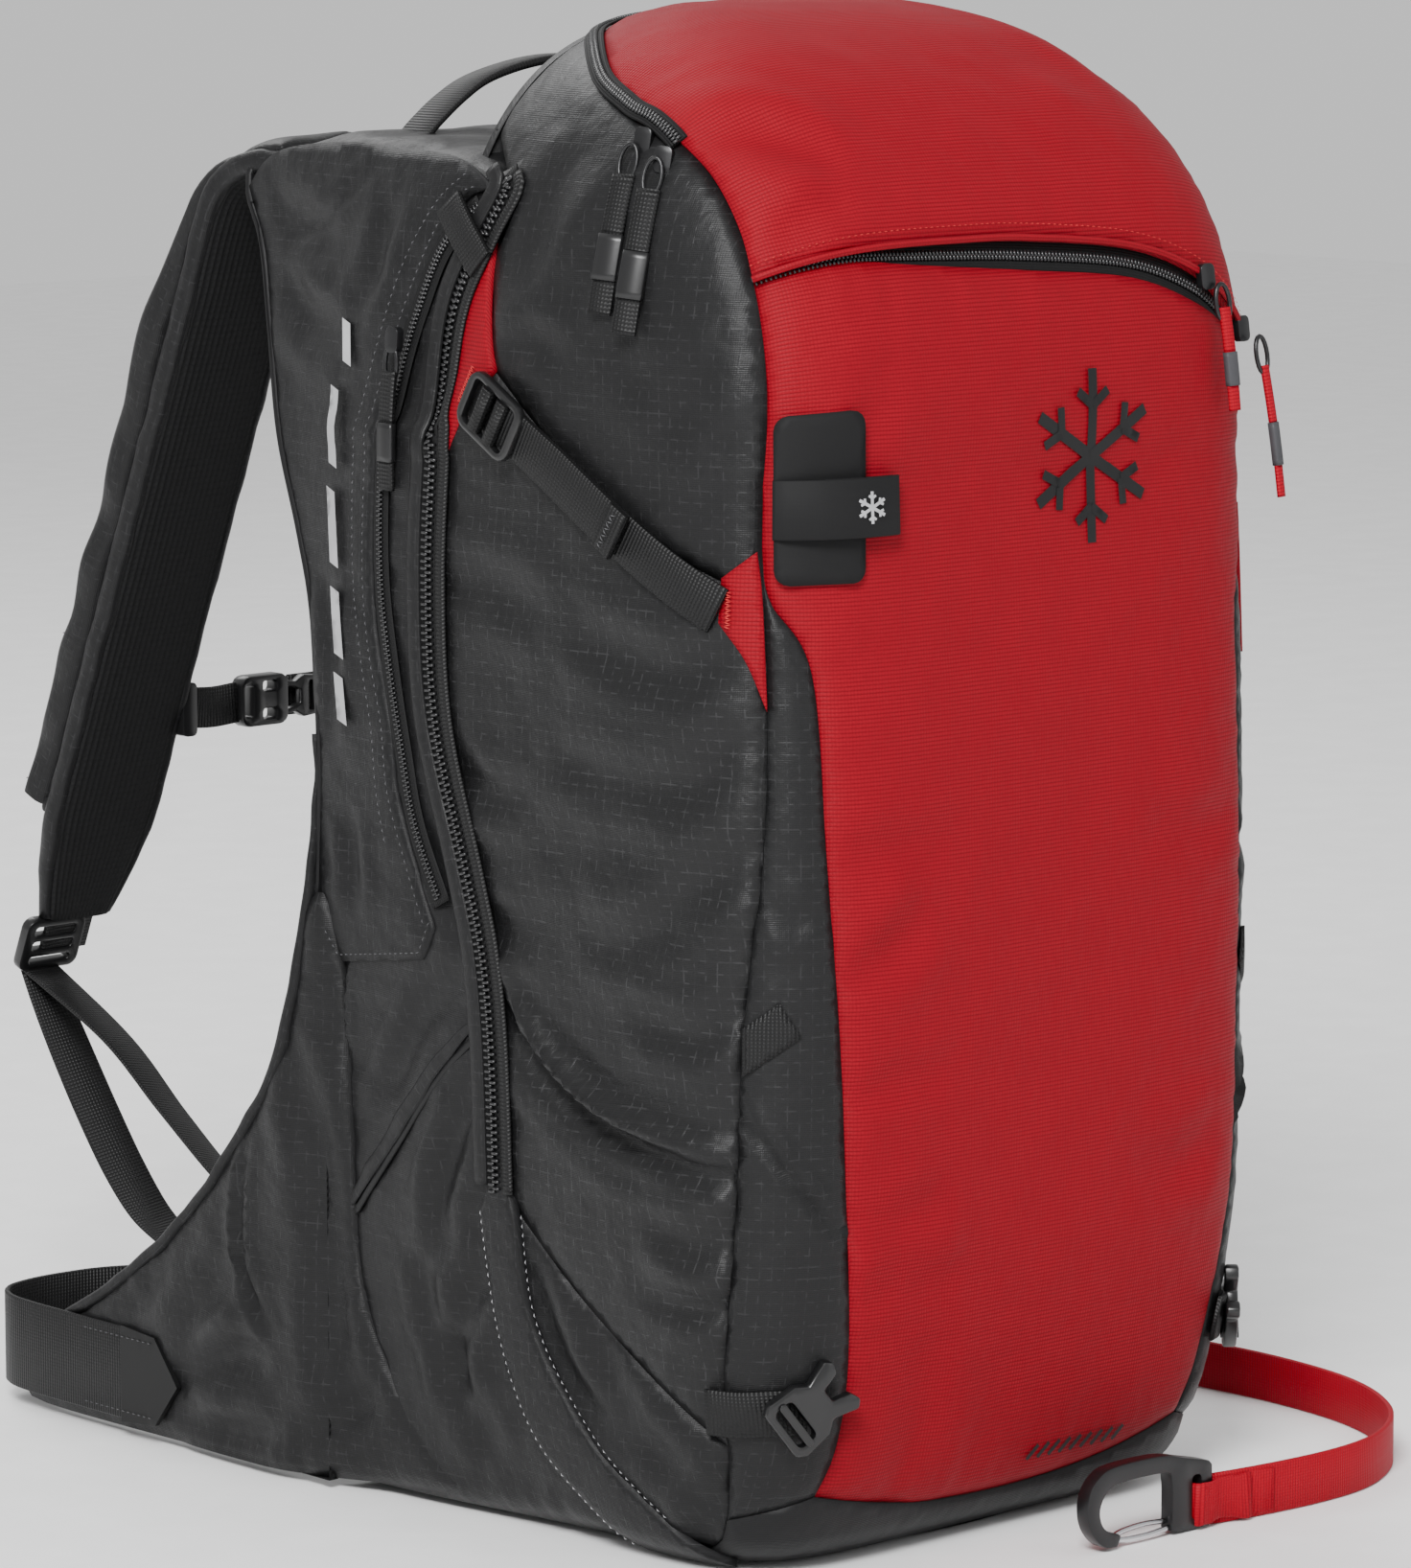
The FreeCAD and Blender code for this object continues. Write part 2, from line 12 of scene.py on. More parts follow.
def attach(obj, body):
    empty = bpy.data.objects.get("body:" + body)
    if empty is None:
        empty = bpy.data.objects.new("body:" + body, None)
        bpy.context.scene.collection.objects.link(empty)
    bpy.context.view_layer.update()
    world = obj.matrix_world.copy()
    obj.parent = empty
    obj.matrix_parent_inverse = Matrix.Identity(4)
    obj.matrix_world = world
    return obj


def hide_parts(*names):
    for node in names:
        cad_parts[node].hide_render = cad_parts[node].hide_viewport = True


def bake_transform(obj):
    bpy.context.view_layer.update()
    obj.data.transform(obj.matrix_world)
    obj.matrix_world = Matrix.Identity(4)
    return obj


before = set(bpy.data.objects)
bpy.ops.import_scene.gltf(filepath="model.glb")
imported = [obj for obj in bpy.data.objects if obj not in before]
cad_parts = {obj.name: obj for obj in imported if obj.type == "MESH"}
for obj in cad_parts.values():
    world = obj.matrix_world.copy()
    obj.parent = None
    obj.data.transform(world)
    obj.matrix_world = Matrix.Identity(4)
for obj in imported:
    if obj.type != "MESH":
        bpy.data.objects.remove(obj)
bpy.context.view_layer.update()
MM = 0.001
LEFT, RIGHT = -1, 1
SIDE_NAMES = {LEFT: "left", RIGHT: "right"}


# ---------------------------------------------------------------- camera, light and floor
def make_stage():
    """Camera at the viewing angle, a pale floor and soft studio light."""
    azimuth, elevation = math.radians(-43), math.radians(8.4)
    distance, lens, sensor = 2.9, 154.4, 36
    target = Vector((-0.020, 0.035, 0.306))
    back = Vector((math.sin(azimuth) * math.cos(elevation), -math.cos(azimuth) * math.cos(elevation),
                   math.sin(elevation)))
    camera = bpy.data.objects.new("camera", bpy.data.cameras.new("camera"))
    camera.data.lens = lens
    camera.data.sensor_width = sensor
    camera.location = target + back * distance
    camera.rotation_euler = back.to_track_quat("Z", "Y").to_euler()
    bpy.context.scene.collection.objects.link(camera)
    bpy.context.scene.camera = camera

    world = bpy.data.worlds.new("studio")
    bpy.context.scene.world = world
    world.use_nodes = True
    background = world.node_tree.nodes["Background"]
    background.inputs["Color"].default_value = (1.0, 1.0, 1.0, 1)
    background.inputs["Strength"].default_value = 0.75

    lights = [("key", (-2.2, -1.6, 2.4), 1.1, 165), ("front", (0.8, -3.0, 1.2), 1.6, 8),
              ("rim", (0.6, 2.4, 2.6), 1.6, 40)]
    for name, place, side, power in lights:
        lamp = bpy.data.lights.new(name, "AREA")
        lamp.size = side
        lamp.energy = power
        light = bpy.data.objects.new(name, lamp)
        light.location = place
        light.rotation_euler = (light.location - target).to_track_quat("Z", "Y").to_euler()
        bpy.context.scene.collection.objects.link(light)

    reach, under = 6000, -0.2
    corners = [(-reach, -reach, under),
               (reach, -reach, under),
               (reach, reach, under),
               (-reach, reach, under)]
    floor = build("floor", corners, [(0, 1, 2, 3)])
    floor.data.materials.append(plain("floor_paint", (0.93, 0.93, 0.93), 0.9, 0.0, contrast=0.02))


# ---------------------------------------------------------------- materials
class Graph:
    """Short names for building one procedural material."""

    def __init__(self, name, roughness):
        self.material = bpy.data.materials.new(name)
        self.material.use_nodes = True
        self.nodes = self.material.node_tree.nodes
        self.links = self.material.node_tree.links
        self.shader = self.nodes["Principled BSDF"]
        self.shader.inputs["Roughness"].default_value = roughness

    def node(self, kind, **inputs):
        made = self.nodes.new(kind)
        for key, value in inputs.items():
            self.feed(made.inputs[key.replace("_", " ")], value)
        return made

    def feed(self, socket, value):
        if isinstance(value, bpy.types.NodeSocket):
            self.links.new(value, socket)
        else:
            socket.default_value = value

    def math(self, operation, *values):
        made = self.nodes.new("ShaderNodeMath")
        made.operation = operation
        for index, value in enumerate(values):
            self.feed(made.inputs[index], value)
        return made.outputs[0]

    def mix(self, factor, first, second):
        made = self.nodes.new("ShaderNodeMix")
        made.data_type = "RGBA"
        self.feed(made.inputs[0], factor)
        self.feed(made.inputs[6], first)
        self.feed(made.inputs[7], second)
        return made.outputs[2]

    def noise(self, vector, scale, detail=2.0):
        made = self.node("ShaderNodeTexNoise", Vector=vector, Scale=scale, Detail=detail)
        return made.outputs["Fac"]

    def ramp(self, value, low, high, to_low=0.0, to_high=1.0):
        made = self.nodes.new("ShaderNodeMapRange")
        for index, item in enumerate((value, low, high, to_low, to_high)):
            self.feed(made.inputs[index], item)
        return made.outputs[0]

    def bump(self, height, strength, distance, normal=None):
        made = self.node("ShaderNodeBump", Height=height, Strength=strength, Distance=distance)
        if normal is not None:
            self.links.new(normal, made.inputs["Normal"])
        return made.outputs["Normal"]

    def paint(self, colour, normal):
        self.feed(self.shader.inputs["Base Color"], colour)
        self.links.new(normal, self.shader.inputs["Normal"])
        return self.material


def tone(colour, factor):
    return tuple(min(1.0, channel * factor) for channel in colour) + (1,)


def weave(name, colour, roughness=0.6, pitch=(1.6, 1.8), relief=0.25, contrast=0.5, grid=0.0, grid_tone=2.2,
          crumple=0.5, gloss=0.22, ribs=False):
    """Cloth woven in UV millimetres: thread relief with painted shade in the thread valleys and a painted
    highlight on the thread crowns, broken ripstop lines, soft creases and uneven dye.
    """
    graph = Graph(name, roughness)
    cloth = graph.nodes.new("ShaderNodeUVMap").outputs["UV"]
    parts = graph.node("ShaderNodeSeparateXYZ", Vector=cloth)
    across, along = parts.outputs[0], parts.outputs[1]
    warp = graph.math("ABSOLUTE",
                      graph.math("SINE", graph.math("MULTIPLY", across, math.pi / (pitch[0] * MM))))
    weft = graph.math("ABSOLUTE",
                      graph.math("SINE", graph.math("MULTIPLY", along, math.pi / (pitch[1] * MM))))
    minor, major = (weft, warp) if ribs else (warp, weft)
    threads = graph.math("MULTIPLY", graph.math("ADD", graph.math("MULTIPLY", minor, 0.5), 0.5), major)
    blotch = graph.noise(cloth, 45.0, 3.0)
    dust = graph.noise(cloth, 900.0, 2.0)
    # Painted shade and highlight: the colour is darker in the thread valleys and lighter on the thread
    # crowns, following the thread relief.
    shade = graph.mix(graph.ramp(threads, 0.0, 0.75), tone(colour, 1 - contrast), tone(colour, 1.12))
    shade = graph.mix(graph.ramp(blotch, 0.35, 0.7, 0.0, 0.35), shade, tone(colour, 0.82))
    shade = graph.mix(graph.ramp(dust, 0.5, 0.8, 0.0, 0.25), shade, tone(colour, 1.35))
    height = threads
    if grid:
        half = grid * MM / 2
        near_u = graph.ramp(graph.math("PINGPONG", across, half), half - 0.42 * MM, half - 0.12 * MM)
        near_v = graph.ramp(graph.math("PINGPONG", along, half), half - 0.42 * MM, half - 0.12 * MM)
        broken = graph.ramp(graph.noise(cloth, 260.0, 1.0), 0.5, 0.62, 0.1, 1.0)
        lines = graph.math("MULTIPLY", graph.math("MAXIMUM", near_u, near_v), broken)
        shade = graph.mix(lines, shade, tone(colour, grid_tone))
        height = graph.math("ADD", threads, lines)
    normal = graph.bump(graph.noise(cloth, 70.0, 4.0), crumple, 1.2 * MM)
    normal = graph.bump(height, 0.6, relief * MM, normal)
    graph.shader.inputs["Specular IOR Level"].default_value = gloss
    return graph.paint(shade, normal)


def plain(name, colour, roughness, metallic, grain=600.0, relief=0.05, contrast=0.15, gloss=0.3):
    """Moulded, coated or metal finish with a fine grain and slight wear."""
    graph = Graph(name, roughness)
    place = graph.nodes.new("ShaderNodeTexCoord").outputs["Object"]
    speckle = graph.noise(place, grain, 3.0)
    worn = graph.noise(place, 25.0, 4.0)
    shade = graph.mix(graph.ramp(worn, 0.4, 0.7), tone(colour, 1 - contrast), tone(colour, 1 + contrast))
    normal = graph.bump(speckle, 0.4, relief * MM)
    graph.shader.inputs["Metallic"].default_value = metallic
    graph.shader.inputs["Specular IOR Level"].default_value = gloss
    return graph.paint(shade, normal)


def make_materials():
    red, charcoal = (0.225, 0.0030, 0.0105), (0.0088, 0.0088, 0.0092)
    black, web = (0.0075, 0.0075, 0.0080), (0.0045, 0.0045, 0.0048)
    return {"red": weave("red_ottoman", red, 0.55, (1.5, 1.7), 0.35, 0.4, crumple=0.6, gloss=0.09),
            "ripstop": weave("charcoal_ripstop", charcoal, 0.40, (0.7, 0.7), 0.10, 0.25, 5.0, 2.8, 1.2,
                             gloss=0.24),
            "plain": weave("charcoal_plain", tuple(1.15 * c for c in charcoal), 0.42, (0.8, 0.8), 0.1, 0.3,
                           5.0, 2.0, 1.1, gloss=0.2),
            "black": weave("black_cloth", black, 0.5, (0.8, 0.8), 0.12, 0.3, crumple=0.8),
            "flap": weave("flap_ripstop", (0.0082, 0.0082, 0.0087), 0.42, (0.7, 0.7), 0.10, 0.25, 5.0, 2.4,
                          1.0, gloss=0.2),
            "web": weave("black_webbing", web, 0.5, (1.7, 1.5), 0.6, 0.6, crumple=0.1, gloss=0.3,
                         ribs=True),
            "red_web": weave("red_webbing", (0.32, 0.0004, 0.0110), 0.55, (1.5, 1.3), 0.4, 0.4, crumple=0.1,
                             gloss=0.12, ribs=True),
            "mesh": weave("spacer_mesh", (0.007, 0.007, 0.0075), 0.8, (3.2, 3.2), 0.9, 0.75, crumple=0.2),
            "tape": weave("zip_tape", (0.004, 0.004, 0.0043), 0.65, (0.9, 1.1), 0.3, 0.5, crumple=0.1),
            "coated": weave("coated_patch", (0.0062, 0.0062, 0.0066), 0.7, (0.5, 0.5), 0.05, 0.2,
                            crumple=0.15),
            "teeth": plain("zip_teeth", (0.012, 0.012, 0.013), 0.32, 0.0, gloss=0.6),
            "plastic": plain("buckle_plastic", (0.006, 0.006, 0.0064), 0.3, 0.0, gloss=0.55),
            "shrink": plain("grip_sleeve", (0.006, 0.006, 0.0065), 0.35, 0.0, gloss=0.5),
            "grey_sleeve": plain("grey_sleeve", (0.05, 0.05, 0.055), 0.5, 0.0),
            "anodised": plain("black_anodised", (0.012, 0.012, 0.013), 0.32, 0.4, 900.0, 0.03, gloss=0.6),
            "wire": plain("bright_wire", (0.62, 0.62, 0.64), 0.22, 1.0, 900.0, 0.02),
            "thread": plain("grey_thread", (0.085, 0.085, 0.09), 0.7, 0.0, 1500.0, 0.1),
            "light_thread": plain("light_thread", (0.34, 0.34, 0.35), 0.7, 0.0, 1500.0, 0.1),
            "red_thread": plain("red_thread", (0.55, 0.03, 0.03), 0.7, 0.0, 1500.0, 0.1),
            "reflective": plain("reflective_print", (0.42, 0.42, 0.43), 0.5, 0.0),
            # This black is print, and also the painted shadow in the slit pocket openings.
            "print": plain("black_print_and_painted_shadow", (0.004, 0.004, 0.0045), 0.5, 0.0),
            "handle": plain("red_grip", (0.45, 0.012, 0.014), 0.45, 0.0),
            "sheet": plain("frame_sheet", (0.03, 0.03, 0.032), 0.5, 0.0),
            "stay": plain("stay_metal", (0.55, 0.56, 0.58), 0.35, 1.0),
            "fan": plain("fan_plastic", (0.05, 0.05, 0.055), 0.45, 0.0),
            "motor": plain("motor_metal", (0.4, 0.4, 0.42), 0.35, 1.0),
            "airbag": weave("airbag_nylon", (0.50, 0.16, 0.03), 0.6, (0.6, 0.6), 0.1, 0.3, crumple=0.5)}


# ---------------------------------------------------------------- meshes
BAG_MIDDLE = np.array([0.0, -10.0, 300.0])
FOLD_DEPTH, FOLD_WIDTH = 1.9, 1.15


def build(name, points, faces, loop_uvs=None):
    """Object from millimetre points, with one UV pair a face corner, also in millimetres."""
    mesh = bpy.data.meshes.new(name)
    mesh.from_pydata((np.asarray(points, float) * MM).tolist(),
                     [],
                     [tuple(int(i) for i in face) for face in faces])
    if loop_uvs is not None:
        layer = mesh.uv_layers.new(name="UVMap")
        layer.data.foreach_set("uv", (np.asarray(loop_uvs, float) * MM).ravel())
    mesh.shade_smooth()
    obj = bpy.data.objects.new(name, mesh)
    bpy.context.scene.collection.objects.link(obj)
    return obj


def settle(obj, material, body="pack", stands_for=()):
    """Finish a piece: material, its body (for a pair of bodies only its place is baked into the mesh) and the
    CAD nodes it replaces.
    """
    obj.data.materials.append(MATERIALS[material])
    if isinstance(body, str):
        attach(obj, body)
    else:
        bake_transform(obj)
    if stands_for:
        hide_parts(*stands_for)
    return obj


def unit(vectors):
    vectors = np.asarray(vectors, float)
    return vectors / np.maximum(np.linalg.norm(vectors, axis=-1, keepdims=True), 1e-9)


def dense(points, step=3.0, smooth=True):
    """Points a step apart along a curve, or with smooth off along straight runs, through the given ones."""
    points = np.asarray(points, float)
    pieces = []
    for index in range(len(points) - 1):
        here, there = points[index], points[index + 1]
        before = points[index - 1] if index else 2 * here - there
        after = points[index + 2] if index + 2 < len(points) else 2 * there - here
        count = max(1, round(float(np.linalg.norm(there - here)) / step))
        t = (np.arange(count) / count)[:, None]
        if smooth:
            run = 0.5 * (2 * here + (there - before) * t
                         + (2 * before - 5 * here + 4 * there - after) * t ** 2
                         + (3 * here - before - 3 * there + after) * t ** 3)
        else:
            run = here + (there - here) * t
        pieces.append(run)
    return np.vstack(pieces + [points[-1:]])


def outline_of(*edges):
    """One closed outline from edges given head to tail."""
    return np.vstack([edge[:-1] for edge in edges])


def edge_distance(points, outline, closed=True):
    """Distance from each point to an outline, and how far along it the nearest spot lies."""
    starts = outline if closed else outline[:-1]
    runs = (np.roll(outline, -1, 0) if closed else outline[1:]) - starts
    squares = np.maximum((runs ** 2).sum(1), 1e-9)
    lengths = np.concatenate([[0], np.cumsum(np.sqrt(squares))])[:-1]
    near = np.empty(len(points))
    along = np.empty(len(points))
    for first in range(0, len(points), 4000):
        some = points[first:first + 4000]
        offset = some[:, None, :] - starts[None]
        t = np.clip((offset * runs).sum(-1) / squares, 0, 1)
        gap = ((offset - t[..., None] * runs) ** 2).sum(-1)
        best = gap.argmin(1)
        rows = np.arange(len(some))
        near[first:first + 4000] = np.sqrt(gap[rows, best])
        along[first:first + 4000] = lengths[best] + t[rows, best] * np.sqrt(squares[best])
    return near, along


def inside(points, outline):
    """Which points lie within a closed outline."""
    hit = np.zeros(len(points), bool)
    for (x1, y1), (x2, y2) in zip(outline, np.roll(outline, -1, 0)):
        crosses = (y1 > points[:, 1]) != (y2 > points[:, 1])
        with np.errstate(divide="ignore", invalid="ignore"):
            at = (x2 - x1) * (points[:, 1] - y1) / (y2 - y1) + x1
        hit ^= crosses & (points[:, 0] < at)
    return hit


def ripple_field(u, v, seed):
    return np.array([noise.noise((a, b, seed)) for a, b in zip(u, v)])


def triangulate(outline, spacing, holes=()):
    """Even triangles inside an outline, with its points first."""
    low, high = outline.min(0), outline.max(0)
    rows = np.arange(low[1] + spacing / 2, high[1], spacing * 0.866)
    grid = [(x + (spacing / 2 if index % 2 else 0), y) for index, y in enumerate(rows)
            for x in np.arange(low[0] + spacing / 4, high[0], spacing)]
    loops = [outline, *holes]
    points = np.vstack(loops)
    if grid:
        grid = np.array(grid)
        grid = grid[inside(grid, outline)]
        for loop in loops:
            if len(grid):
                grid = grid[edge_distance(grid, loop)[0] > 0.5 * spacing]
        for hole in holes:
            grid = grid[~inside(grid, hole)]
        points = np.vstack([points, grid])
    edges = []
    first = 0
    for loop in loops:
        count = len(loop)
        edges += [(first + i, first + (i + 1) % count) for i in range(count)]
        first += count
    made = delaunay_2d_cdt([Vector(p) for p in points], edges, [], 0, 1e-5)
    points = np.array([tuple(p) for p in made[0]])
    faces = np.array([face for face in made[2] if len(face) == 3])
    middle = points[faces].mean(1)
    keep = inside(middle, outline)
    for hole in holes:
        keep &= ~inside(middle, hole)
    return points, faces[keep]


def rim_edges(faces):
    """Edges with a face on one side only, in the direction that their face runs."""
    seen = {}
    for face in faces:
        for a, b in zip(face, np.roll(face, -1)):
            seen[(int(a), int(b))] = True
    return [edge for edge in seen if (edge[1], edge[0]) not in seen]


def with_normals(surface, facing):
    """Surface function that also gives outward normals, on the side that faces a direction."""
    def both(u, v):
        here = surface(u, v)
        normal = unit(np.cross(surface(u + 0.8, v) - surface(u - 0.8, v),
                               surface(u, v + 0.8) - surface(u, v - 0.8)))
        toward = here - BAG_MIDDLE if facing == "out" else np.asarray(facing, float)
        normal *= np.where((normal * toward).sum(1) < 0, -1.0, 1.0)[:, None]
        return here, normal
    return both


def relief_of(points, outline, seam, ripple, reach, soft, bulge, folds, seed):
    """Height of sewn cloth over its surface: sunk at the seams, puckered beside them and softly uneven."""
    near, along = edge_distance(points, outline)
    height = -seam * np.exp(-(near / 4.5) ** 2) + bulge * (1 - np.exp(-near / 28))
    pucker = ripple_field(along / 8.5, near / 55, seed) + 0.5 * ripple_field(along / 3.6, near / 30,
                                                                             seed + 7)
    height += ripple * np.exp(-near / reach) * (1 - np.exp(-near / 4)) * pucker
    height += soft * (1 - np.exp(-near / 14)) * ripple_field(points[:, 0] / 62, points[:, 1] / 48, seed + 3)
    height += 0.35 * soft * (1 - np.exp(-near / 9)) * ripple_field(points[:, 0] / 19, points[:, 1] / 14,
                                                                   seed + 5)
    for line, depth, width in folds:
        depth, width = depth * FOLD_DEPTH, width * FOLD_WIDTH
        gap, run = edge_distance(points, dense(line, 6), closed=False)
        ends = np.sin(np.pi * np.clip(run / max(run.max(), 1), 0, 1)) ** 0.5
        height -= depth * ends * np.exp(-(gap / width) ** 2)
        height += 0.7 * depth * ends * np.exp(-((gap - 1.9 * width) / width) ** 2)
    return height


def cloth_points(outline, surface, spacing, seam, ripple, reach, soft, bulge, folds, seed, lift):
    flat, faces = triangulate(outline, spacing)
    height = lift + relief_of(flat, outline, seam, ripple, reach, soft, bulge, folds, seed)
    here, normal = surface(flat[:, 0], flat[:, 1])
    a, b, c = here[faces[:, 0]], here[faces[:, 1]], here[faces[:, 2]]
    turned = (np.cross(b - a, c - a) * normal[faces[:, 0]]).sum(1) < 0
    faces = np.where(turned[:, None], faces[:, ::-1], faces)
    return flat, faces, here + normal * height[:, None], normal


def panel(name, edges, surface, material, body="pack", spacing=4.5, seam=1.6, ripple=1.0, reach=16.0,
          soft=0.9, bulge=0.0, lift=0.0, folds=(), seed=1.0, skirt=3.0, mirror=False, stands_for=(),
          grain=None, slot=None, fill=None):
    """Sewn cloth panel inside the edges, laid on a surface, its rim turned under."""
    outline = outline_of(*edges)
    flat, faces, points, normal = cloth_points(outline, surface, spacing, seam, ripple, reach, soft, bulge,
                                               folds, seed, lift)
    uv = flat if grain is None else grain(points)
    rim = rim_edges(faces)
    rim_points = sorted({a for a, _ in rim})
    under = {a: len(points) + index for index, a in enumerate(rim_points)}
    tucked = points[rim_points] - normal[rim_points] * skirt
    points = np.vstack([points, tucked])
    uv = np.vstack([uv, uv[rim_points] + skirt])
    faces = [tuple(face) for face in faces] + [(b, a, under[a], under[b]) for a, b in rim]
    if mirror:
        points = points * (-1, 1, 1)
        faces = [face[::-1] for face in faces]
    loops = [uv[i] for face in faces for i in face]
    return settle(build(name, points, faces, loops), material, body, stands_for)


def decal(name, corners, surface, lift, mirror=False):
    """Thin flat print on a surface, between its corners."""
    quad = dense(np.vstack([corners, corners[:1]]), 3, False)[:-1]
    faces, points = cloth_points(quad, surface, 4, 0, 0, 9, 0, 0, (), 1.0, lift)[1:3]
    if mirror:
        points, faces = points * (-1, 1, 1), faces[:, ::-1]
    return build(name, points, faces)


def sweep(name, centres, outward, profile, closed=False, caps=True, scale=None, bend=None):
    """Profile of (across, outward) points carried along a path, scaled by (width, height) at each step."""
    centres = np.asarray(centres, float)
    count = len(centres)
    if closed:
        tangent = unit(np.roll(centres, -1, 0) - np.roll(centres, 1, 0))
    else:
        tangent = unit(np.gradient(centres, axis=0))
    out = np.broadcast_to(np.asarray(outward, float), centres.shape)
    out = unit(out - (out * tangent).sum(1)[:, None] * tangent)
    across = np.cross(tangent, out)
    profile = np.asarray(profile, float)
    size = len(profile)
    factor = np.ones((count, 2)) if scale is None else np.asarray(scale, float)
    rings = (centres[:, None] + across[:, None] * (profile[None, :, :1] * factor[:, None, :1])
             + out[:, None] * (profile[None, :, 1:] * factor[:, None, 1:]))
    if bend is not None:
        rings = bend(rings)
    points = rings.reshape(-1, 3)
    steps = np.linalg.norm(np.diff(centres, axis=0), axis=1)
    run = np.concatenate([[0], np.cumsum(steps)])
    girth = np.concatenate([[0], np.cumsum(np.linalg.norm(np.roll(profile, -1, 0) - profile, axis=1))])
    faces, loops = [], []
    for i in range(count if closed else count - 1):
        j = (i + 1) % count
        far = run[i] + (np.linalg.norm(centres[j] - centres[i]) if closed else steps[i])
        for k in range(size):
            m = (k + 1) % size
            faces.append((i * size + k, i * size + m, j * size + m, j * size + k))
            loops += [(run[i], girth[k]), (run[i], girth[k + 1]), (far, girth[k + 1]), (far, girth[k])]
    if caps and not closed:
        ends = [tuple(range(size))[::-1], tuple(range((count - 1) * size, count * size))]
        for face, at in zip(ends, (0.0, run[-1])):
            faces.append(face)
            loops += [(at + profile[i % size][1], profile[i % size][0]) for i in face]
    return build(name, points, faces, loops)


def side_out(run):
    """Directions square to a path's runs (x, y, z) within the side plane."""
    return np.stack([np.zeros(len(run)), -run[:, 2], run[:, 1]], 1)


def level_out(path):
    """Level directions square to a path."""
    run = np.gradient(path, axis=0)
    return np.stack([run[:, 1], -run[:, 0], np.zeros(len(path))], 1)


def lay(name, line, profile, material, body="pack", stands_for=(), slot=None, fill=None, **form):
    """Finished sweep of a profile along a line, given as its points and outward directions."""
    return settle(sweep(name, *line, profile, **form), material, body, stands_for)


def strap_profile(width, thick):
    """Flat webbing section with soft edges."""
    a, b, c = width / 2, thick / 2, min(thick * 0.3, 0.6)
    return [(-a, -b + c), (-a + c, -b), (a - c, -b), (a, -b + c), (a, b - c), (a - c, b), (-a + c, b),
            (-a, b - c)]


def round_profile(radius, sides=10):
    return [(radius * math.cos(t), radius * math.sin(t))
            for t in np.linspace(0, 2 * math.pi, sides, endpoint=False)]


def pad_profile(width, thick, power, sides, top=1.0):
    """Crowned cushion section."""
    points = []
    for t in np.linspace(0, 2 * math.pi, sides, endpoint=False):
        c, s = math.cos(t), math.sin(t)
        radius = (abs(c) ** power + abs(s) ** power) ** (-1 / power)
        points.append((width / 2 * radius * c, thick / 2 * radius * s * (top if s > 0 else 1.0)))
    return points


def join(name, objects):
    """One object from several new ones."""
    bpy.ops.object.select_all(action="DESELECT")
    for obj in objects:
        obj.select_set(True)
    bpy.context.view_layer.objects.active = objects[0]
    bpy.ops.object.join()
    objects[0].name = name
    objects[0].data.name = name
    return objects[0]


def bevel(obj, width):
    """Apply a small rounded edge."""
    tool = obj.modifiers.new("edge", "BEVEL")
    tool.width = width * MM
    tool.segments = 2
    tool.limit_method = "ANGLE"
    tool.angle_limit = 0.6
    return apply_modifiers(obj)


def apply_modifiers(obj):
    depsgraph = bpy.context.evaluated_depsgraph_get()
    depsgraph.update()
    mesh = bpy.data.meshes.new_from_object(obj.evaluated_get(depsgraph))
    obj.modifiers.clear()
    obj.data = mesh
    return obj


PAD_VOXEL = 4.5
PAD_PRESSURE = 4.0
PAD_FRAMES = 20


def box_uv(mesh):
    """UVs in metres, each face laid out along its main axis."""
    corners = np.empty(len(mesh.loops), int)
    mesh.loops.foreach_get("vertex_index", corners)
    points = np.empty(len(mesh.vertices) * 3)
    mesh.vertices.foreach_get("co", points)
    normals = np.empty(len(mesh.polygons) * 3)
    mesh.polygons.foreach_get("normal", normals)
    sizes = np.empty(len(mesh.polygons), int)
    mesh.polygons.foreach_get("loop_total", sizes)
    main = np.repeat(np.abs(normals.reshape(-1, 3)).argmax(1), sizes)
    places = points.reshape(-1, 3)[corners]
    u = np.where(main == 0, places[:, 1], places[:, 0])
    v = np.where(main == 2, places[:, 1], places[:, 2])
    layer = mesh.uv_layers.new(name="UVMap")
    layer.data.foreach_set("uv", np.stack([u, v], 1).ravel())


def inflate(obj, cap):
    """Closed pad blown out by a short cloth simulation, no point moving more than cap millimetres."""
    remesh = obj.modifiers.new("remesh", "REMESH")
    remesh.mode = "VOXEL"
    remesh.voxel_size = PAD_VOXEL * MM
    apply_modifiers(obj)
    start = np.array([tuple(v.co) for v in obj.data.vertices])
    cloth = obj.modifiers.new("cloth", "CLOTH")
    cloth.settings.use_pressure = True
    cloth.settings.uniform_pressure_force = PAD_PRESSURE
    cloth.settings.effector_weights.gravity = 0
    cloth.settings.quality = 6
    cloth.collision_settings.use_collision = False
    cloth.point_cache.frame_start = 1
    cloth.point_cache.frame_end = PAD_FRAMES
    scene = bpy.context.scene
    for frame_number in range(1, PAD_FRAMES + 1):
        scene.frame_set(frame_number)
    blown = obj.evaluated_get(bpy.context.evaluated_depsgraph_get()).data
    move = np.array([tuple(v.co) for v in blown.vertices]) - start
    reach = np.linalg.norm(move, axis=1, keepdims=True)
    move *= np.minimum(1, cap * MM / np.maximum(reach, 1e-9))
    obj.modifiers.clear()
    scene.frame_set(1)
    obj.data.vertices.foreach_set("co", (start + move).ravel())
    smooth = obj.modifiers.new("smooth", "SUBSURF")
    smooth.levels = 1
    apply_modifiers(obj)
    box_uv(obj.data)
    obj.data.shade_smooth()
    return obj


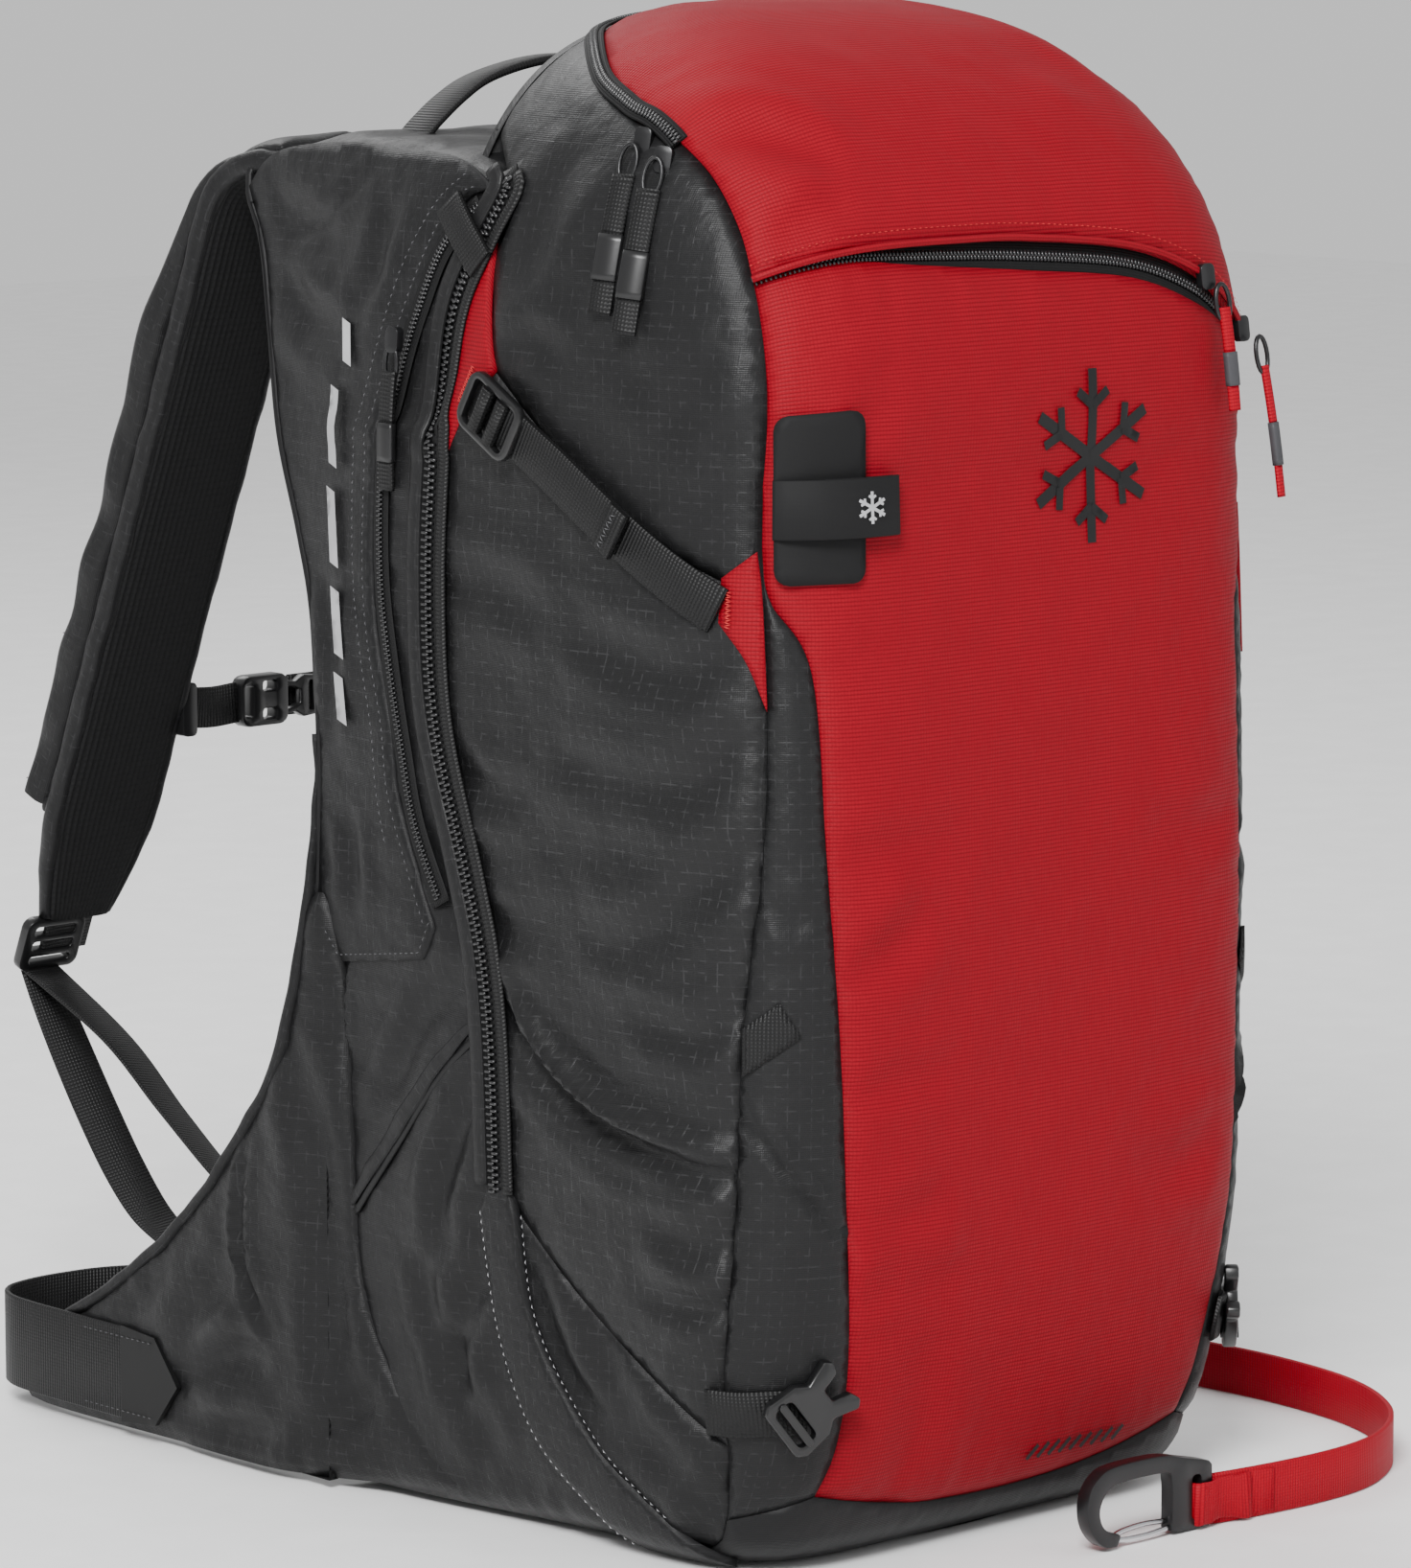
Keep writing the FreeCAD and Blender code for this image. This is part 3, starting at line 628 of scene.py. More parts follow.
def slab(name, outline, place, thick, holes=(), edge=0.6, spacing=40.0):
    """Flat plate with holes. place maps plate coordinates (a, b, height) arrays to points."""
    flat, faces = triangulate(np.asarray(outline, float), spacing, [np.asarray(h, float) for h in holes])
    count = len(flat)
    top = place(flat[:, 0], flat[:, 1], np.full(count, thick / 2))
    bottom = place(flat[:, 0], flat[:, 1], np.full(count, -thick / 2))
    walls = [(a, a + count, b + count, b) for a, b in rim_edges(faces)]
    all_faces = [tuple(f) for f in faces] + [tuple(f[::-1] + count) for f in faces] + walls
    obj = build(name, np.vstack([top, bottom]), all_faces)
    fix_normals(obj)
    if edge:
        bevel(obj, edge)
    obj.data.shade_smooth()
    obj.data.set_sharp_from_angle(angle=0.7)
    return obj


def fix_normals(obj):
    mesh = bmesh.new()
    mesh.from_mesh(obj.data)
    bmesh.ops.recalc_face_normals(mesh, faces=mesh.faces)
    mesh.to_mesh(obj.data)
    mesh.free()


def plate_frame(origin, a_axis, b_axis):
    """Place function for a slab from an origin and two directions."""
    origin = np.asarray(origin, float)
    a_axis, b_axis = unit(a_axis), unit(b_axis)
    out = np.cross(a_axis, b_axis)

    def place(a, b, h):
        return origin + np.outer(a, a_axis) + np.outer(b, b_axis) + np.outer(h, out)
    return place


def rounded(width, height, radius, centre=(0, 0)):
    """Rounded rectangle outline."""
    points = []
    for sx, sy, start in ((1, 1, 0), (-1, 1, 90), (-1, -1, 180), (1, -1, 270)):
        cx, cy = centre[0] + sx * (width / 2 - radius), centre[1] + sy * (height / 2 - radius)
        for t in np.radians(np.linspace(start, start + 90, 5)):
            points.append((cx + radius * math.cos(t), cy + radius * math.sin(t)))
    return points


# ---------------------------------------------------------------- stitches and zip teeth
THREADS = {}


def stitches(path, outward, body="pack", kind="thread", dash=2.6, gap=1.2, radius=0.32, lift=0.2):
    """Running stitch along a path, kept until every line of one kind and body is made into one piece."""
    path = dense(path, 1.0) if len(path) < 12 else np.asarray(path, float)
    outward = np.broadcast_to(np.asarray(outward, float), (len(path), 3)) if np.ndim(outward) < 2 else outward
    if len(outward) != len(path):
        outward = np.array([outward[min(int(i * len(outward) / len(path)), len(outward) - 1)]
                            for i in range(len(path))])
    run = np.concatenate([[0], np.cumsum(np.linalg.norm(np.diff(path, axis=0), axis=1))])
    points, faces = THREADS.setdefault((body, kind), ([], []))
    for start in np.arange(0, run[-1] - dash, dash + gap):
        ends = [np.array([np.interp(start + f * dash, run, path[:, k]) for k in range(3)])
                for f in (0, 0.5, 1)]
        out = unit(np.array([np.interp(start + dash / 2, run, outward[:, k]) for k in range(3)]))
        side = unit(np.cross(ends[2] - ends[0], out)) * radius
        up = out * radius
        centre = ends[1] + out * (lift + radius)
        first = len(points)
        points += [ends[0] + out * lift * 0.2, centre + side, centre + up, centre - side, centre - up * 0.6,
                   ends[2] + out * lift * 0.2]
        ring = [first + 1, first + 2, first + 3, first + 4]
        for a, b in zip(ring, ring[1:] + ring[:1]):
            faces += [(first, b, a), (first + 5, a, b)]


def zigzag(start, end, outward, width, pitch=1.6, kind="thread"):
    """Bar of dense zigzag stitches from start to end."""
    start, end = np.asarray(start, float), np.asarray(end, float)
    side = unit(np.cross(end - start, outward)) * width / 2
    count = max(2, int(np.linalg.norm(end - start) / pitch * 2))
    for index in range(count):
        a = start + (end - start) * index / count + side * (1 if index % 2 else -1)
        b = start + (end - start) * (index + 1) / count + side * (-1 if index % 2 else 1)
        stitches([a, b], outward, "pack", kind, dash=float(np.linalg.norm(b - a)) * 0.95, gap=0.1,
                 radius=0.3)


def make_threads():
    for (body, kind), (points, faces) in sorted(THREADS.items(), key=str):
        label = body if isinstance(body, str) else body[1] + "_edge"
        obj = build(f"stitches_{kind}_{label}", points, faces)
        settle(obj, kind, body)


def teeth(name, path, outward, pitch, length, width, height):
    """Two interlocking rows of small rounded zip teeth."""
    path = np.asarray(path, float)
    run = np.concatenate([[0], np.cumsum(np.linalg.norm(np.diff(path, axis=0), axis=1))])
    outward = np.broadcast_to(np.asarray(outward, float), path.shape)
    points, faces = [], []
    for index, start in enumerate(np.arange(0, run[-1] - pitch, pitch / 2)):
        here = np.array([np.interp(start, run, path[:, k]) for k in range(3)])
        ahead = np.array([np.interp(start + pitch / 2, run, path[:, k]) for k in range(3)])
        out = unit(np.array([np.interp(start, run, outward[:, k]) for k in range(3)]))
        along = unit(ahead - here)
        side = np.cross(along, out) * (1 if index % 2 else -1)
        centre = here + side * length * 0.32
        first = len(points)
        for a, b, c in ((-1, -1, 0), (1, -1, 0), (1, 1, 0), (-1, 1, 0),
                        (-0.7, -0.75, 1), (0.7, -0.75, 1), (0.7, 0.75, 1), (-0.7, 0.75, 1)):
            points.append(centre + side * a * length / 2 + along * b * width / 2 + out * height * c)
        quads = [(0, 3, 2, 1), (4, 5, 6, 7), (0, 1, 5, 4), (1, 2, 6, 5), (2, 3, 7, 6), (3, 0, 4, 7)]
        faces += [tuple(first + i for i in quad) for quad in quads]
    obj = build(name, points, faces)
    fix_normals(obj)
    return settle(obj, "teeth")


# ---------------------------------------------------------------- shape of the bag
HINGE_Y, HINGE_Z = 58.0, 455.0
FAN = 3.6
BAG_COLUMNS = 401
LEVEL_V = [0, 15, 60, 150, 300, 455, 475, 500, 520, 545]
LEVEL_W = [122, 138, 150, 157, 158, 158, 159, 159, 154, 148]
LEVEL_F = [-105, -122, -138, -150, -152, -146]
LEVEL_B = [10, 10, 14, 26, 46, 58]
FAN_A, FAN_D = [0, 15, 30, 45, 60, 75, 90], [204, 210, 214, 212, 204, 192, 180]
POWER_A, POWER_N = [0, 30, 60, 90], [6, 5.5, 3.8, 2.7]


def smooth_table(x, knots, values):
    """Monotone cubic through a short table."""
    knots, values = np.array(knots, float), np.array(values, float)
    gap = np.diff(knots)
    slope = np.diff(values) / gap
    both = slope[:-1] + slope[1:]
    middle = np.where(slope[:-1] * slope[1:] > 0, 2 * slope[:-1] * slope[1:] / np.where(both == 0, 1, both),
                      0)
    tangent = np.concatenate([[slope[0]], middle, [slope[-1]]])
    x = np.clip(x, knots[0], knots[-1])
    i = np.clip(np.searchsorted(knots, x, side="right") - 1, 0, len(gap) - 1)
    t = (x - knots[i]) / gap[i]
    return ((1 + 2 * t) * (1 - t) ** 2 * values[i] + t * (1 - t) ** 2 * gap[i] * tangent[i]
            + t * t * (3 - 2 * t) * values[i + 1] + t * t * (t - 1) * gap[i] * tangent[i + 1])


def level_shape(v):
    """Half width, depth and corner power of the bag's section at a height, or fan angle, v."""
    if v <= HINGE_Z:
        back, front = smooth_table(v, LEVEL_V[:6], LEVEL_B), smooth_table(v, LEVEL_V[:6], LEVEL_F)
        return float(smooth_table(v, LEVEL_V, LEVEL_W)), float(back - front), 6.0
    angle = v - HINGE_Z
    return (float(smooth_table(v, LEVEL_V, LEVEL_W)), float(smooth_table(angle, FAN_A, FAN_D)),
            float(smooth_table(angle, POWER_A, POWER_N)))


def make_bag_table():
    """Bag surface as rows of evenly spaced points, one row every 5 mm or, over the hinge, every degree."""
    levels = np.concatenate([np.arange(0, 455, 5.0), np.arange(455, 545.5, 1.0)])
    swing = np.linspace(0, np.pi, 721)
    cosine, sine = np.cos(swing), np.sin(swing)
    rows, halves = [], []
    for v in levels:
        width, depth, power = level_shape(v)
        radius = (np.abs(cosine / width) ** power + np.abs(sine / depth) ** power) ** (-1 / power)
        x, d = -radius * cosine, radius * sine
        if v <= HINGE_Z:
            back = float(smooth_table(v, LEVEL_V[:6], LEVEL_B))
            row = np.stack([x, back - d, np.full_like(x, v)], 1)
        else:
            angle = math.radians(v - HINGE_Z)
            row = np.stack([x, HINGE_Y - d * math.cos(angle), HINGE_Z + d * math.sin(angle)], 1)
        run = np.concatenate([[0], np.cumsum(np.linalg.norm(np.diff(row, axis=0), axis=1))])
        at = np.linspace(0, run[-1], BAG_COLUMNS)
        rows.append(np.stack([np.interp(at, run, row[:, k]) for k in range(3)], 1))
        halves.append(run[-1] / 2)
    return levels, np.array(rows), np.array(halves)


LEVELS, BAG_ROWS, HALF_LENGTHS = make_bag_table()


def arc(points):
    """Outline points (s, v) with v over the hinge turned from degrees into millimetres of cloth."""
    points = np.asarray(points, float).copy()
    high = points[:, 1] > HINGE_Z
    points[high, 1] = HINGE_Z + (points[high, 1] - HINGE_Z) * FAN
    return points


def bag_surface(s, height):
    """Bag points s millimetres round from the middle of the front, at cloth height."""
    v = np.where(height > HINGE_Z, HINGE_Z + (height - HINGE_Z) / FAN, height)
    v = np.clip(v, 0, 545)
    row = np.clip(np.searchsorted(LEVELS, v, side="right") - 1, 0, len(LEVELS) - 2)
    part = (v - LEVELS[row]) / (LEVELS[row + 1] - LEVELS[row])
    half = HALF_LENGTHS[row] * (1 - part) + HALF_LENGTHS[row + 1] * part
    last = BAG_COLUMNS - 1
    column = np.clip((s / half + 1) / 2, 0, 1) * last
    k = np.clip(column.astype(int), 0, last - 1)
    q = (column - k)[:, None]
    low = BAG_ROWS[row, k] * (1 - q) + BAG_ROWS[row, k + 1] * q
    high = BAG_ROWS[row + 1, k] * (1 - q) + BAG_ROWS[row + 1, k + 1] * q
    part = part[:, None]
    return low * (1 - part) + high * part


def side_x(y, z):
    """Half width of the bag at a side point (y, z)."""
    y, z = np.asarray(y, float), np.asarray(z, float)
    low = z <= HINGE_Z
    zc = np.clip(z, 0, HINGE_Z)
    back, front = smooth_table(zc, LEVEL_V[:6], LEVEL_B), smooth_table(zc, LEVEL_V[:6], LEVEL_F)
    angle = np.degrees(np.arctan2(np.maximum(z - HINGE_Z, 0), HINGE_Y - y))
    angle = np.clip(angle, 0, 90)
    reach = np.hypot(HINGE_Y - y, np.maximum(z - HINGE_Z, 0))
    depth = np.where(low, back - front, smooth_table(angle, FAN_A, FAN_D))
    gap = np.where(low, back - y, reach)
    power = np.where(low, 6.0, smooth_table(angle, POWER_A, POWER_N))
    width = smooth_table(np.where(low, np.clip(z, 0, 545), HINGE_Z + angle), LEVEL_V, LEVEL_W)
    share = np.clip(np.abs(np.maximum(gap, 0)) / depth, 0, 0.9995)
    return width * (1 - share ** power) ** (1 / power)


def side_surface(y, z):
    """Left side of the bag over the side plane."""
    return np.stack([-side_x(y, z), y, z], 1)


ZIP_LINE = [(2, -50), (20, -35), (50, -8), (95, 6), (150, 14), (210, 16), (250, 21), (285, 31), (345, 50),
            (405, 54), (466, 50), (514, 46), (545, 30), (566, 18), (588, 8), (603, 0)]
BACK_Z = [0, 20, 100, 250, 316, 377, 413, 454, 500, 535, 560, 580]
BACK_Y = [130, 137, 139, 139, 137, 144, 160, 184, 202, 213, 225, 235]
BACK_X = [144, 148, 151, 151, 150, 147, 141, 132, 122, 117, 116, 116]


def zip_y(z):
    return smooth_table(z, [p[0] for p in ZIP_LINE], [p[1] for p in ZIP_LINE])


def unit_surface(y, z):
    """Left side of the airbag unit, from the expansion zip back to its bound edge and the yoke."""
    first, last = zip_y(z), smooth_table(z, BACK_Z, BACK_Y)
    start, end = side_x(first, z), smooth_table(z, BACK_Z, BACK_X)
    t = np.clip((y - first) / np.maximum(last - first, 1), -0.3, 1.2)
    ease = np.clip(t, 0, 1) ** 2 * (3 - 2 * np.clip(t, 0, 1))
    fullness = 3.5 * np.sin(np.pi * np.clip(t, 0, 1)) * np.clip((z - 20) / 80, 0, 1)
    return np.stack([-(start + (end - start) * ease + fullness), y, z], 1)


def back_surface(x, z):
    """Back of the airbag unit, with the flare at each side that runs up into the yoke."""
    edge_y, edge_x = smooth_table(z, BACK_Z, BACK_Y), smooth_table(z, BACK_Z, BACK_X)
    t = np.clip((np.abs(x) - 96) / (edge_x - 96), 0, 1)
    return np.stack([x, 124.0 + (edge_y - 124.0) * t ** 1.7, z], 1)


BAG = with_normals(bag_surface, "out")
SIDE = with_normals(side_surface, (-1, 0, 0))
UNIT = with_normals(unit_surface, (-1, 0, 0))
BACK = with_normals(back_surface, (0, 1, 0))

# ---------------------------------------------------------------- seam lines, left half, in (s, v)
RED_EDGE = arc([(-109, 35), (-104, 55), (-103, 85), (-109, 145), (-114, 225), (-121, 305), (-126, 380),
                (-142, 408), (-145, 425), (-144, 455), (-141, 480), (-139, 487), (-138, 495), (-139, 503),
                (-136, 511), (-123, 521), (-86, 535), (-60, 541), (-40, 543.5)])
RED_LOW = dense(RED_EDGE[:11])
RED_HIGH = dense(RED_EDGE[10:])
# The red front reaches further round the bag's right edge than round its left one.
REACH_V = [35, 55, 85, 145, 225, 305, 380, 408]
REACH_S = [0, 13, 20, 23, 20, 12, 4, 0]
CORNER_SEAM = dense(arc([(-140, 2), (-144, 25), (-154, 65), (-160, 105), (-158, 185), (-157, 225),
                         (-153, 265), (-148, 305), (-145, 365), (-145, 425)]))
POCKET_LIP = arc([(-141, 480), (-93, 480.8), (-40, 481), (0, 480.8), (60, 479.2), (101, 475.8), (130, 471),
                  (142, 469)])
FRONT_TOP = arc([(-141, 480), (-100, 480), (-60, 478.8), (0, 477.4), (60, 475.8), (101, 472.4), (130, 469),
                 (142, 467.5)])
FRONT_BOTTOM = dense(arc([(-109, 35), (-60, 24), (-20, 20), (20, 20), (60, 24), (109, 35)]))


def mirrored(edge):
    return np.asarray(edge)[::-1] * (-1, 1)


def reached(edge):
    """Upward red edge, in left half coordinates, moved out to where the right side has it."""
    out = np.array(edge, float)
    out[:, 0] -= np.clip(smooth_table(np.clip(out[:, 1], REACH_V[0], REACH_V[-1]), REACH_V, REACH_S), 0,
                         None)
    return out


def split_at(edge, height):
    """Part of an upward edge under a height, and the part over it."""
    index = int(np.searchsorted(edge[:, 1], height))
    return edge[:index + 1], edge[index:]


def bag_line(points, lift=0.0):
    """Points and normals on the bag along (s, cloth height) points."""
    points = np.asarray(points, float)
    here, normal = BAG(points[:, 0], points[:, 1])
    return here + normal * lift, normal


def surface_line(surface, points, lift=0.0, step=3.0, side=LEFT):
    """Points and normals on a side surface along (y, z) points."""
    points = dense(points, step)
    here, normal = surface(points[:, 0], points[:, 1])
    flip = np.array([1.0 if side == LEFT else -1.0, 1, 1])
    return (here + normal * lift) * flip, normal * flip


def side_grain(points):
    """UV of a side panel: its place in the side plane."""
    return points[:, 1:]


# ---------------------------------------------------------------- bag panels
def make_red_panels():
    """Front panel, and the top panel with the lid, whose lip hangs over the front pocket's zip."""
    below = split_at(reached(dense(RED_EDGE)), FRONT_TOP[-1][1])[0]
    right_low = mirrored(below)
    outline = [FRONT_BOTTOM, right_low[::-1], dense(FRONT_TOP)[::-1], RED_LOW[::-1]]
    folds = [(arc([(-138, 440), (-115, 452), (-90, 456)]), 0.6, 7),
             (arc([(-138, 465), (-110, 458), (-80, 470)]), 0.6, 8),
             (arc([(-118, 300), (-95, 306), (-60, 302)]), 1.0, 8),
             (arc([(-115, 255), (-92, 262), (-70, 280)]), 1.2, 8),
             (arc([(-112, 205), (-85, 210), (-60, 204)]), 0.9, 7),
             (arc([(-108, 160), (-85, 150), (-55, 160)]), 1.1, 9),
             (arc([(-100, 120), (-80, 128), (-50, 118)]), 0.9, 8),
             (arc([(-70, 24), (-62, 60), (-66, 100)]), 0.8, 10),
             (arc([(118, 300), (95, 296), (60, 304)]), 1.0, 8),
             (arc([(110, 160), (80, 152), (55, 160)]), 1.1, 9)]
    panel("red_front", outline, BAG, "red", spacing=5.0, seam=2.2, ripple=1.3, reach=26, soft=1.1,
          bulge=1.0, folds=folds, seed=2.0, stands_for=("front_panel",))

    right_edge = mirrored(split_at(dense(RED_EDGE), POCKET_LIP[-1][1])[1])
    top_back = dense(arc([(40, 543.5), (0, 544), (-40, 543.5)]))
    outline = [dense(POCKET_LIP), right_edge[::-1], top_back, RED_HIGH[::-1]]
    folds = [(arc([(-136, 500), (-110, 497), (-85, 490)]), 1.4, 9),
             (arc([(-132, 483), (-105, 486), (-88, 487)]), 1.2, 6),
             (arc([(60, 541), (90, 520), (118, 500)]), 1.2, 9),
             (arc([(20, 500), (60, 505), (95, 500)]), 0.7, 12)]
    panel("red_top", outline, BAG, "red", ("pack", "lid", (0, -0.112, 0.588), (0, -0.088, 0.600)),
          spacing=5.0, seam=1.2, ripple=0.9, reach=22, soft=1.0, bulge=1.2, lift=1.6, folds=folds, seed=5.0,
          skirt=4.0, stands_for=("top_panel", "lid"))


def make_corner_strips():
    """Black strips between the red front and the sides, with a diagonal seam and an elastic tab."""
    below = RED_LOW[:int(np.argmax(RED_LOW[:, 1] >= 425)) + 1]
    bottom = dense([(-144, 25), (-109, 35)])
    seam = CORNER_SEAM[int(np.argmax(CORNER_SEAM[:, 1] >= 25)):]
    bottom[0] = seam[0]
    seam = np.vstack([seam[:-1], below[-1:]])
    for side in (LEFT, RIGHT):
        edge = below if side == LEFT else reached(below)
        panel(f"corner_strip_{SIDE_NAMES[side]}", [bottom, edge, seam[::-1]], BAG, "plain", spacing=4.0,
              seam=1.8, ripple=1.4, reach=12, soft=1.0,
              folds=[([(-158, 202), (-138, 178), (-112, 146)], 2.4, 1.8),
                     ([(-146, 290), (-135, 280), (-124, 285)], 1.0, 5)], seed=11.0 + side,
              mirror=side == RIGHT)
        tab = [dense([(-156, 216), (-156, 236)], 3), dense([(-156, 236), (-141, 247)], 3, False),
               dense([(-141, 247), (-132, 233)], 3, False), dense([(-132, 233), (-156, 216)], 3, False)]
        panel(f"corner_tab_{SIDE_NAMES[side]}", tab, BAG, "web", spacing=3, seam=0.3, ripple=0, soft=0,
              lift=1.6, skirt=1.6, mirror=side == RIGHT)


def make_base():
    """Coated black base: a strip round the bottom edge and the floor of the bag."""
    seam = CORNER_SEAM[:int(np.argmax(CORNER_SEAM[:, 1] >= 25)) + 1]
    corner = dense([tuple(seam[-1]), (-109, 35)])
    edge = [seam, corner, FRONT_BOTTOM, mirrored(corner), mirrored(seam), dense([(140, 2), (-140, 2)], 5)]
    panel("base_strip", edge, BAG, "black", spacing=4.5, seam=1.2, ripple=1.2, reach=10, soft=1.2,
          seed=21.0, stands_for=("base_panel",))
    rim = [BAG_ROWS[0][i] for i in range(0, BAG_COLUMNS, 8)] + [(118, 60, 0), (140, 126, 0), (-140, 126, 0),
                                                                (-118, 60, 0)]
    rim = np.array(rim)[:, :2] * 0.985

    def under(x, y):
        sag = 3.0 + 2.5 * np.cos(x / 40) * np.cos(y / 30)
        return np.stack([x, y, np.clip(sag, 0.6, 6)], 1)
    panel("base_floor", [np.vstack([rim, rim[:1]])], with_normals(under, (0, 0, -1)), "black", spacing=9,
          seam=0.4, ripple=0, soft=0.4, seed=23.0, skirt=4.0)


def to_side(line):
    """Places (y, z) of bag points along (s, cloth height) points."""
    return bag_line(line)[0][:, 1:]


def make_side_panels():
    """Ripstop side panels: main, lower and upper, with the red gussets at the strap's ends."""
    corner = to_side(CORNER_SEAM)
    lower_cut = int(np.argmax(corner[:, 1] >= 58))
    upper_cut = int(np.argmax(corner[:, 1] >= 408))
    foot, long_run = corner[:lower_cut + 1], corner[lower_cut:upper_cut + 1]
    crest = corner[upper_cut:]
    strap_line = dense([tuple(long_run[-1]), (-73, 433), (-24, 463), (14, 493)])
    strap_rear = dense([(14, 493), (22, 503), (35, 520), (40, 530)])
    zip_down = dense([(40, 530), (46, 514), (50, 466), (54, 405), (50, 345), (31, 285), (21, 250),
                      (16, 210), (14, 150)])
    low_seam = dense([(14, 150), (3, 140), (-31, 112), (-70, 85), tuple(foot[-1])])
    front_up = to_side(RED_LOW[int(np.argmax(RED_LOW[:, 1] >= 425)):])
    lid_line = to_side(RED_HIGH)
    upper_back = dense([tuple(lid_line[-1]), (57, 612), (57, 592), (44, 584), (28, 572), (20, 555), (25, 538),
                        (20, 514), (14, 493)])
    base_line = dense([(-50, 2), (-80, 2), tuple(foot[0])])
    strip_line = dense([(14, 150), (6, 95), (-8, 50), (-35, 20), (-50, 2)])
    wrinkles = [([(20, 249), (-5, 214), (-46, 189), (-98, 177), (-134, 172)], 2.9, 4.0),
                ([(24, 258), (-1, 223), (-42, 197), (-98, 185), (-132, 180)], -2.0, 4.5),
                ([(20, 232), (-12, 200), (-60, 176), (-110, 164)], 1.4, 6),
                ([(-125, 352), (-96, 334), (-58, 330), (-20, 342)], 1.3, 8),
                ([(-128, 306), (-108, 296), (-74, 268), (-40, 262)], 1.6, 8),
                ([(-128, 252), (-104, 232), (-66, 236)], 1.4, 6),
                ([(-90, 300), (-50, 306), (-16, 290)], 0.8, 10),
                ([(-128, 150), (-100, 146), (-70, 152)], 1.5, 6),
                ([(-124, 122), (-98, 118), (-72, 120)], 1.2, 5),
                ([(48, 400), (20, 404), (-20, 396)], 1.3, 8),
                ([(-118, 385), (-80, 380), (-30, 392)], 1.5, 8),
                ([(46, 330), (20, 318), (-8, 322)], 1.4, 7),
                ([(30, 270), (10, 262), (-20, 268)], 1.2, 7)]
    upper_wrinkles = [([(-118, 470), (-96, 480), (-74, 470)], 1.1, 7),
                      ([(-112, 500), (-86, 492), (-60, 500)], 1.1, 8),
                      ([(-60, 560), (-40, 540), (-30, 520)], 1.2, 8),
                      ([(10, 500), (-10, 508), (-30, 500)], 1.4, 6),
                      ([(-20, 588), (-10, 560), (-12, 530)], 1.0, 9)]
    for side in (LEFT, RIGHT):
        name, flip = SIDE_NAMES[side], side == RIGHT
        shared = dict(mirror=flip, grain=side_grain)
        panel(f"side_main_{name}", [low_seam, long_run, strap_line, strap_rear, zip_down], SIDE, "ripstop",
              seam=2.0, ripple=1.8, reach=24, soft=1.5, bulge=0.5, folds=wrinkles, seed=31.0 + side,
              stands_for=(f"side_panel_{name}",), **shared)
        panel(f"side_lower_{name}", [base_line, foot, low_seam[::-1], strip_line], SIDE, "plain",
              spacing=4.0, seam=2.0, ripple=1.6, reach=20, soft=1.6,
              folds=[([(0, 125), (-20, 80), (-60, 45)], 1.8, 7),
                     ([(-40, 100), (-62, 60), (-95, 40)], 1.4, 7),
                     ([(-112, 45), (-95, 30), (-80, 8)], 1.6, 6)], seed=35.0 + side, **shared)
        panel(f"side_upper_{name}", [strap_line[::-1], crest, front_up, lid_line, upper_back], SIDE,
              "plain", seam=1.8, ripple=1.2, reach=18, soft=1.3, folds=upper_wrinkles, seed=38.0 + side,
              **shared)
        rear_gusset = [dense([(13, 494), (28, 478), (34, 472)], 3),
                       dense([(34, 472), (44, 455), (50, 440)], 3),
                       dense([(50, 440), (54, 466), (50, 514), (40, 532), (24, 546)], 3),
                       dense([(24, 546), (22, 520), (13, 494)], 3)]
        panel(f"rear_gusset_{name}", rear_gusset, SIDE, "red", spacing=3, seam=0.4, ripple=0.7, reach=9,
              soft=0.5, lift=1.3, skirt=2.6, seed=41.0, **shared)
        front_gusset = to_side(dense(arc([(-162, 418), (-147, 429)]), 3))
        gusset = [front_gusset, to_side(dense(arc([(-147, 429), (-145.5, 410), (-145, 365)]), 3)),
                  to_side(dense(arc([(-145, 365), (-153, 385), (-164, 400)]), 3)),
                  to_side(dense(arc([(-164, 400), (-162, 418)]), 3))]
        panel(f"front_gusset_{name}", gusset, SIDE, "red", spacing=3, seam=0.4, ripple=0.8, reach=9,
              soft=0.4, lift=1.3, skirt=2.6, seed=43.0, **shared)
        strip = [dense([(25, 141), (17, 85), (1, 45), (-25, 20), (-46, 4)], 3),
                 dense([(-46, 4), (-90, 4)], 3),
                 dense([(-90, 4), (-72, 20), (-35, 50), (-5, 95), (3, 143)], 3),
                 dense([(3, 143), (9, 158), (13, 159), (25, 141)], 3, False)]
        panel(f"side_strip_{name}", strip, SIDE, "flap", spacing=3.5, seam=0.5, ripple=0.5, reach=10,
              soft=0.7, lift=3.2, skirt=3.6, seed=45.0, stands_for=(f"side_flap_{name}",), **shared)
        for line in ([(23, 141), (15, 86), (-1, 47), (-26, 22), (-46, 6)],
                     [(-3, 143), (-10, 96), (-40, 53), (-75, 24)]):
            stitches(*surface_line(SIDE, line, 3.4, 2.0, side), kind="light_thread")


def make_back_wall():
    """Back of the bag above the airbag unit."""
    rim = BAG_ROWS[-1]
    top = [(p[0], p[2]) for p in rim if p[2] > 560]
    outline = np.array(top)

    def wall(x, z):
        return np.stack([x, 58 + 3 * np.cos(x / 90), z], 1)
    closing = dense([tuple(outline[-1]), tuple(outline[0])], 6)
    panel("back_wall", [outline, closing], with_normals(wall, (0, 1, 0)), "plain", spacing=6, seam=-0.5,
          ripple=0.8, soft=1.0, seed=51.0, skirt=4.0)


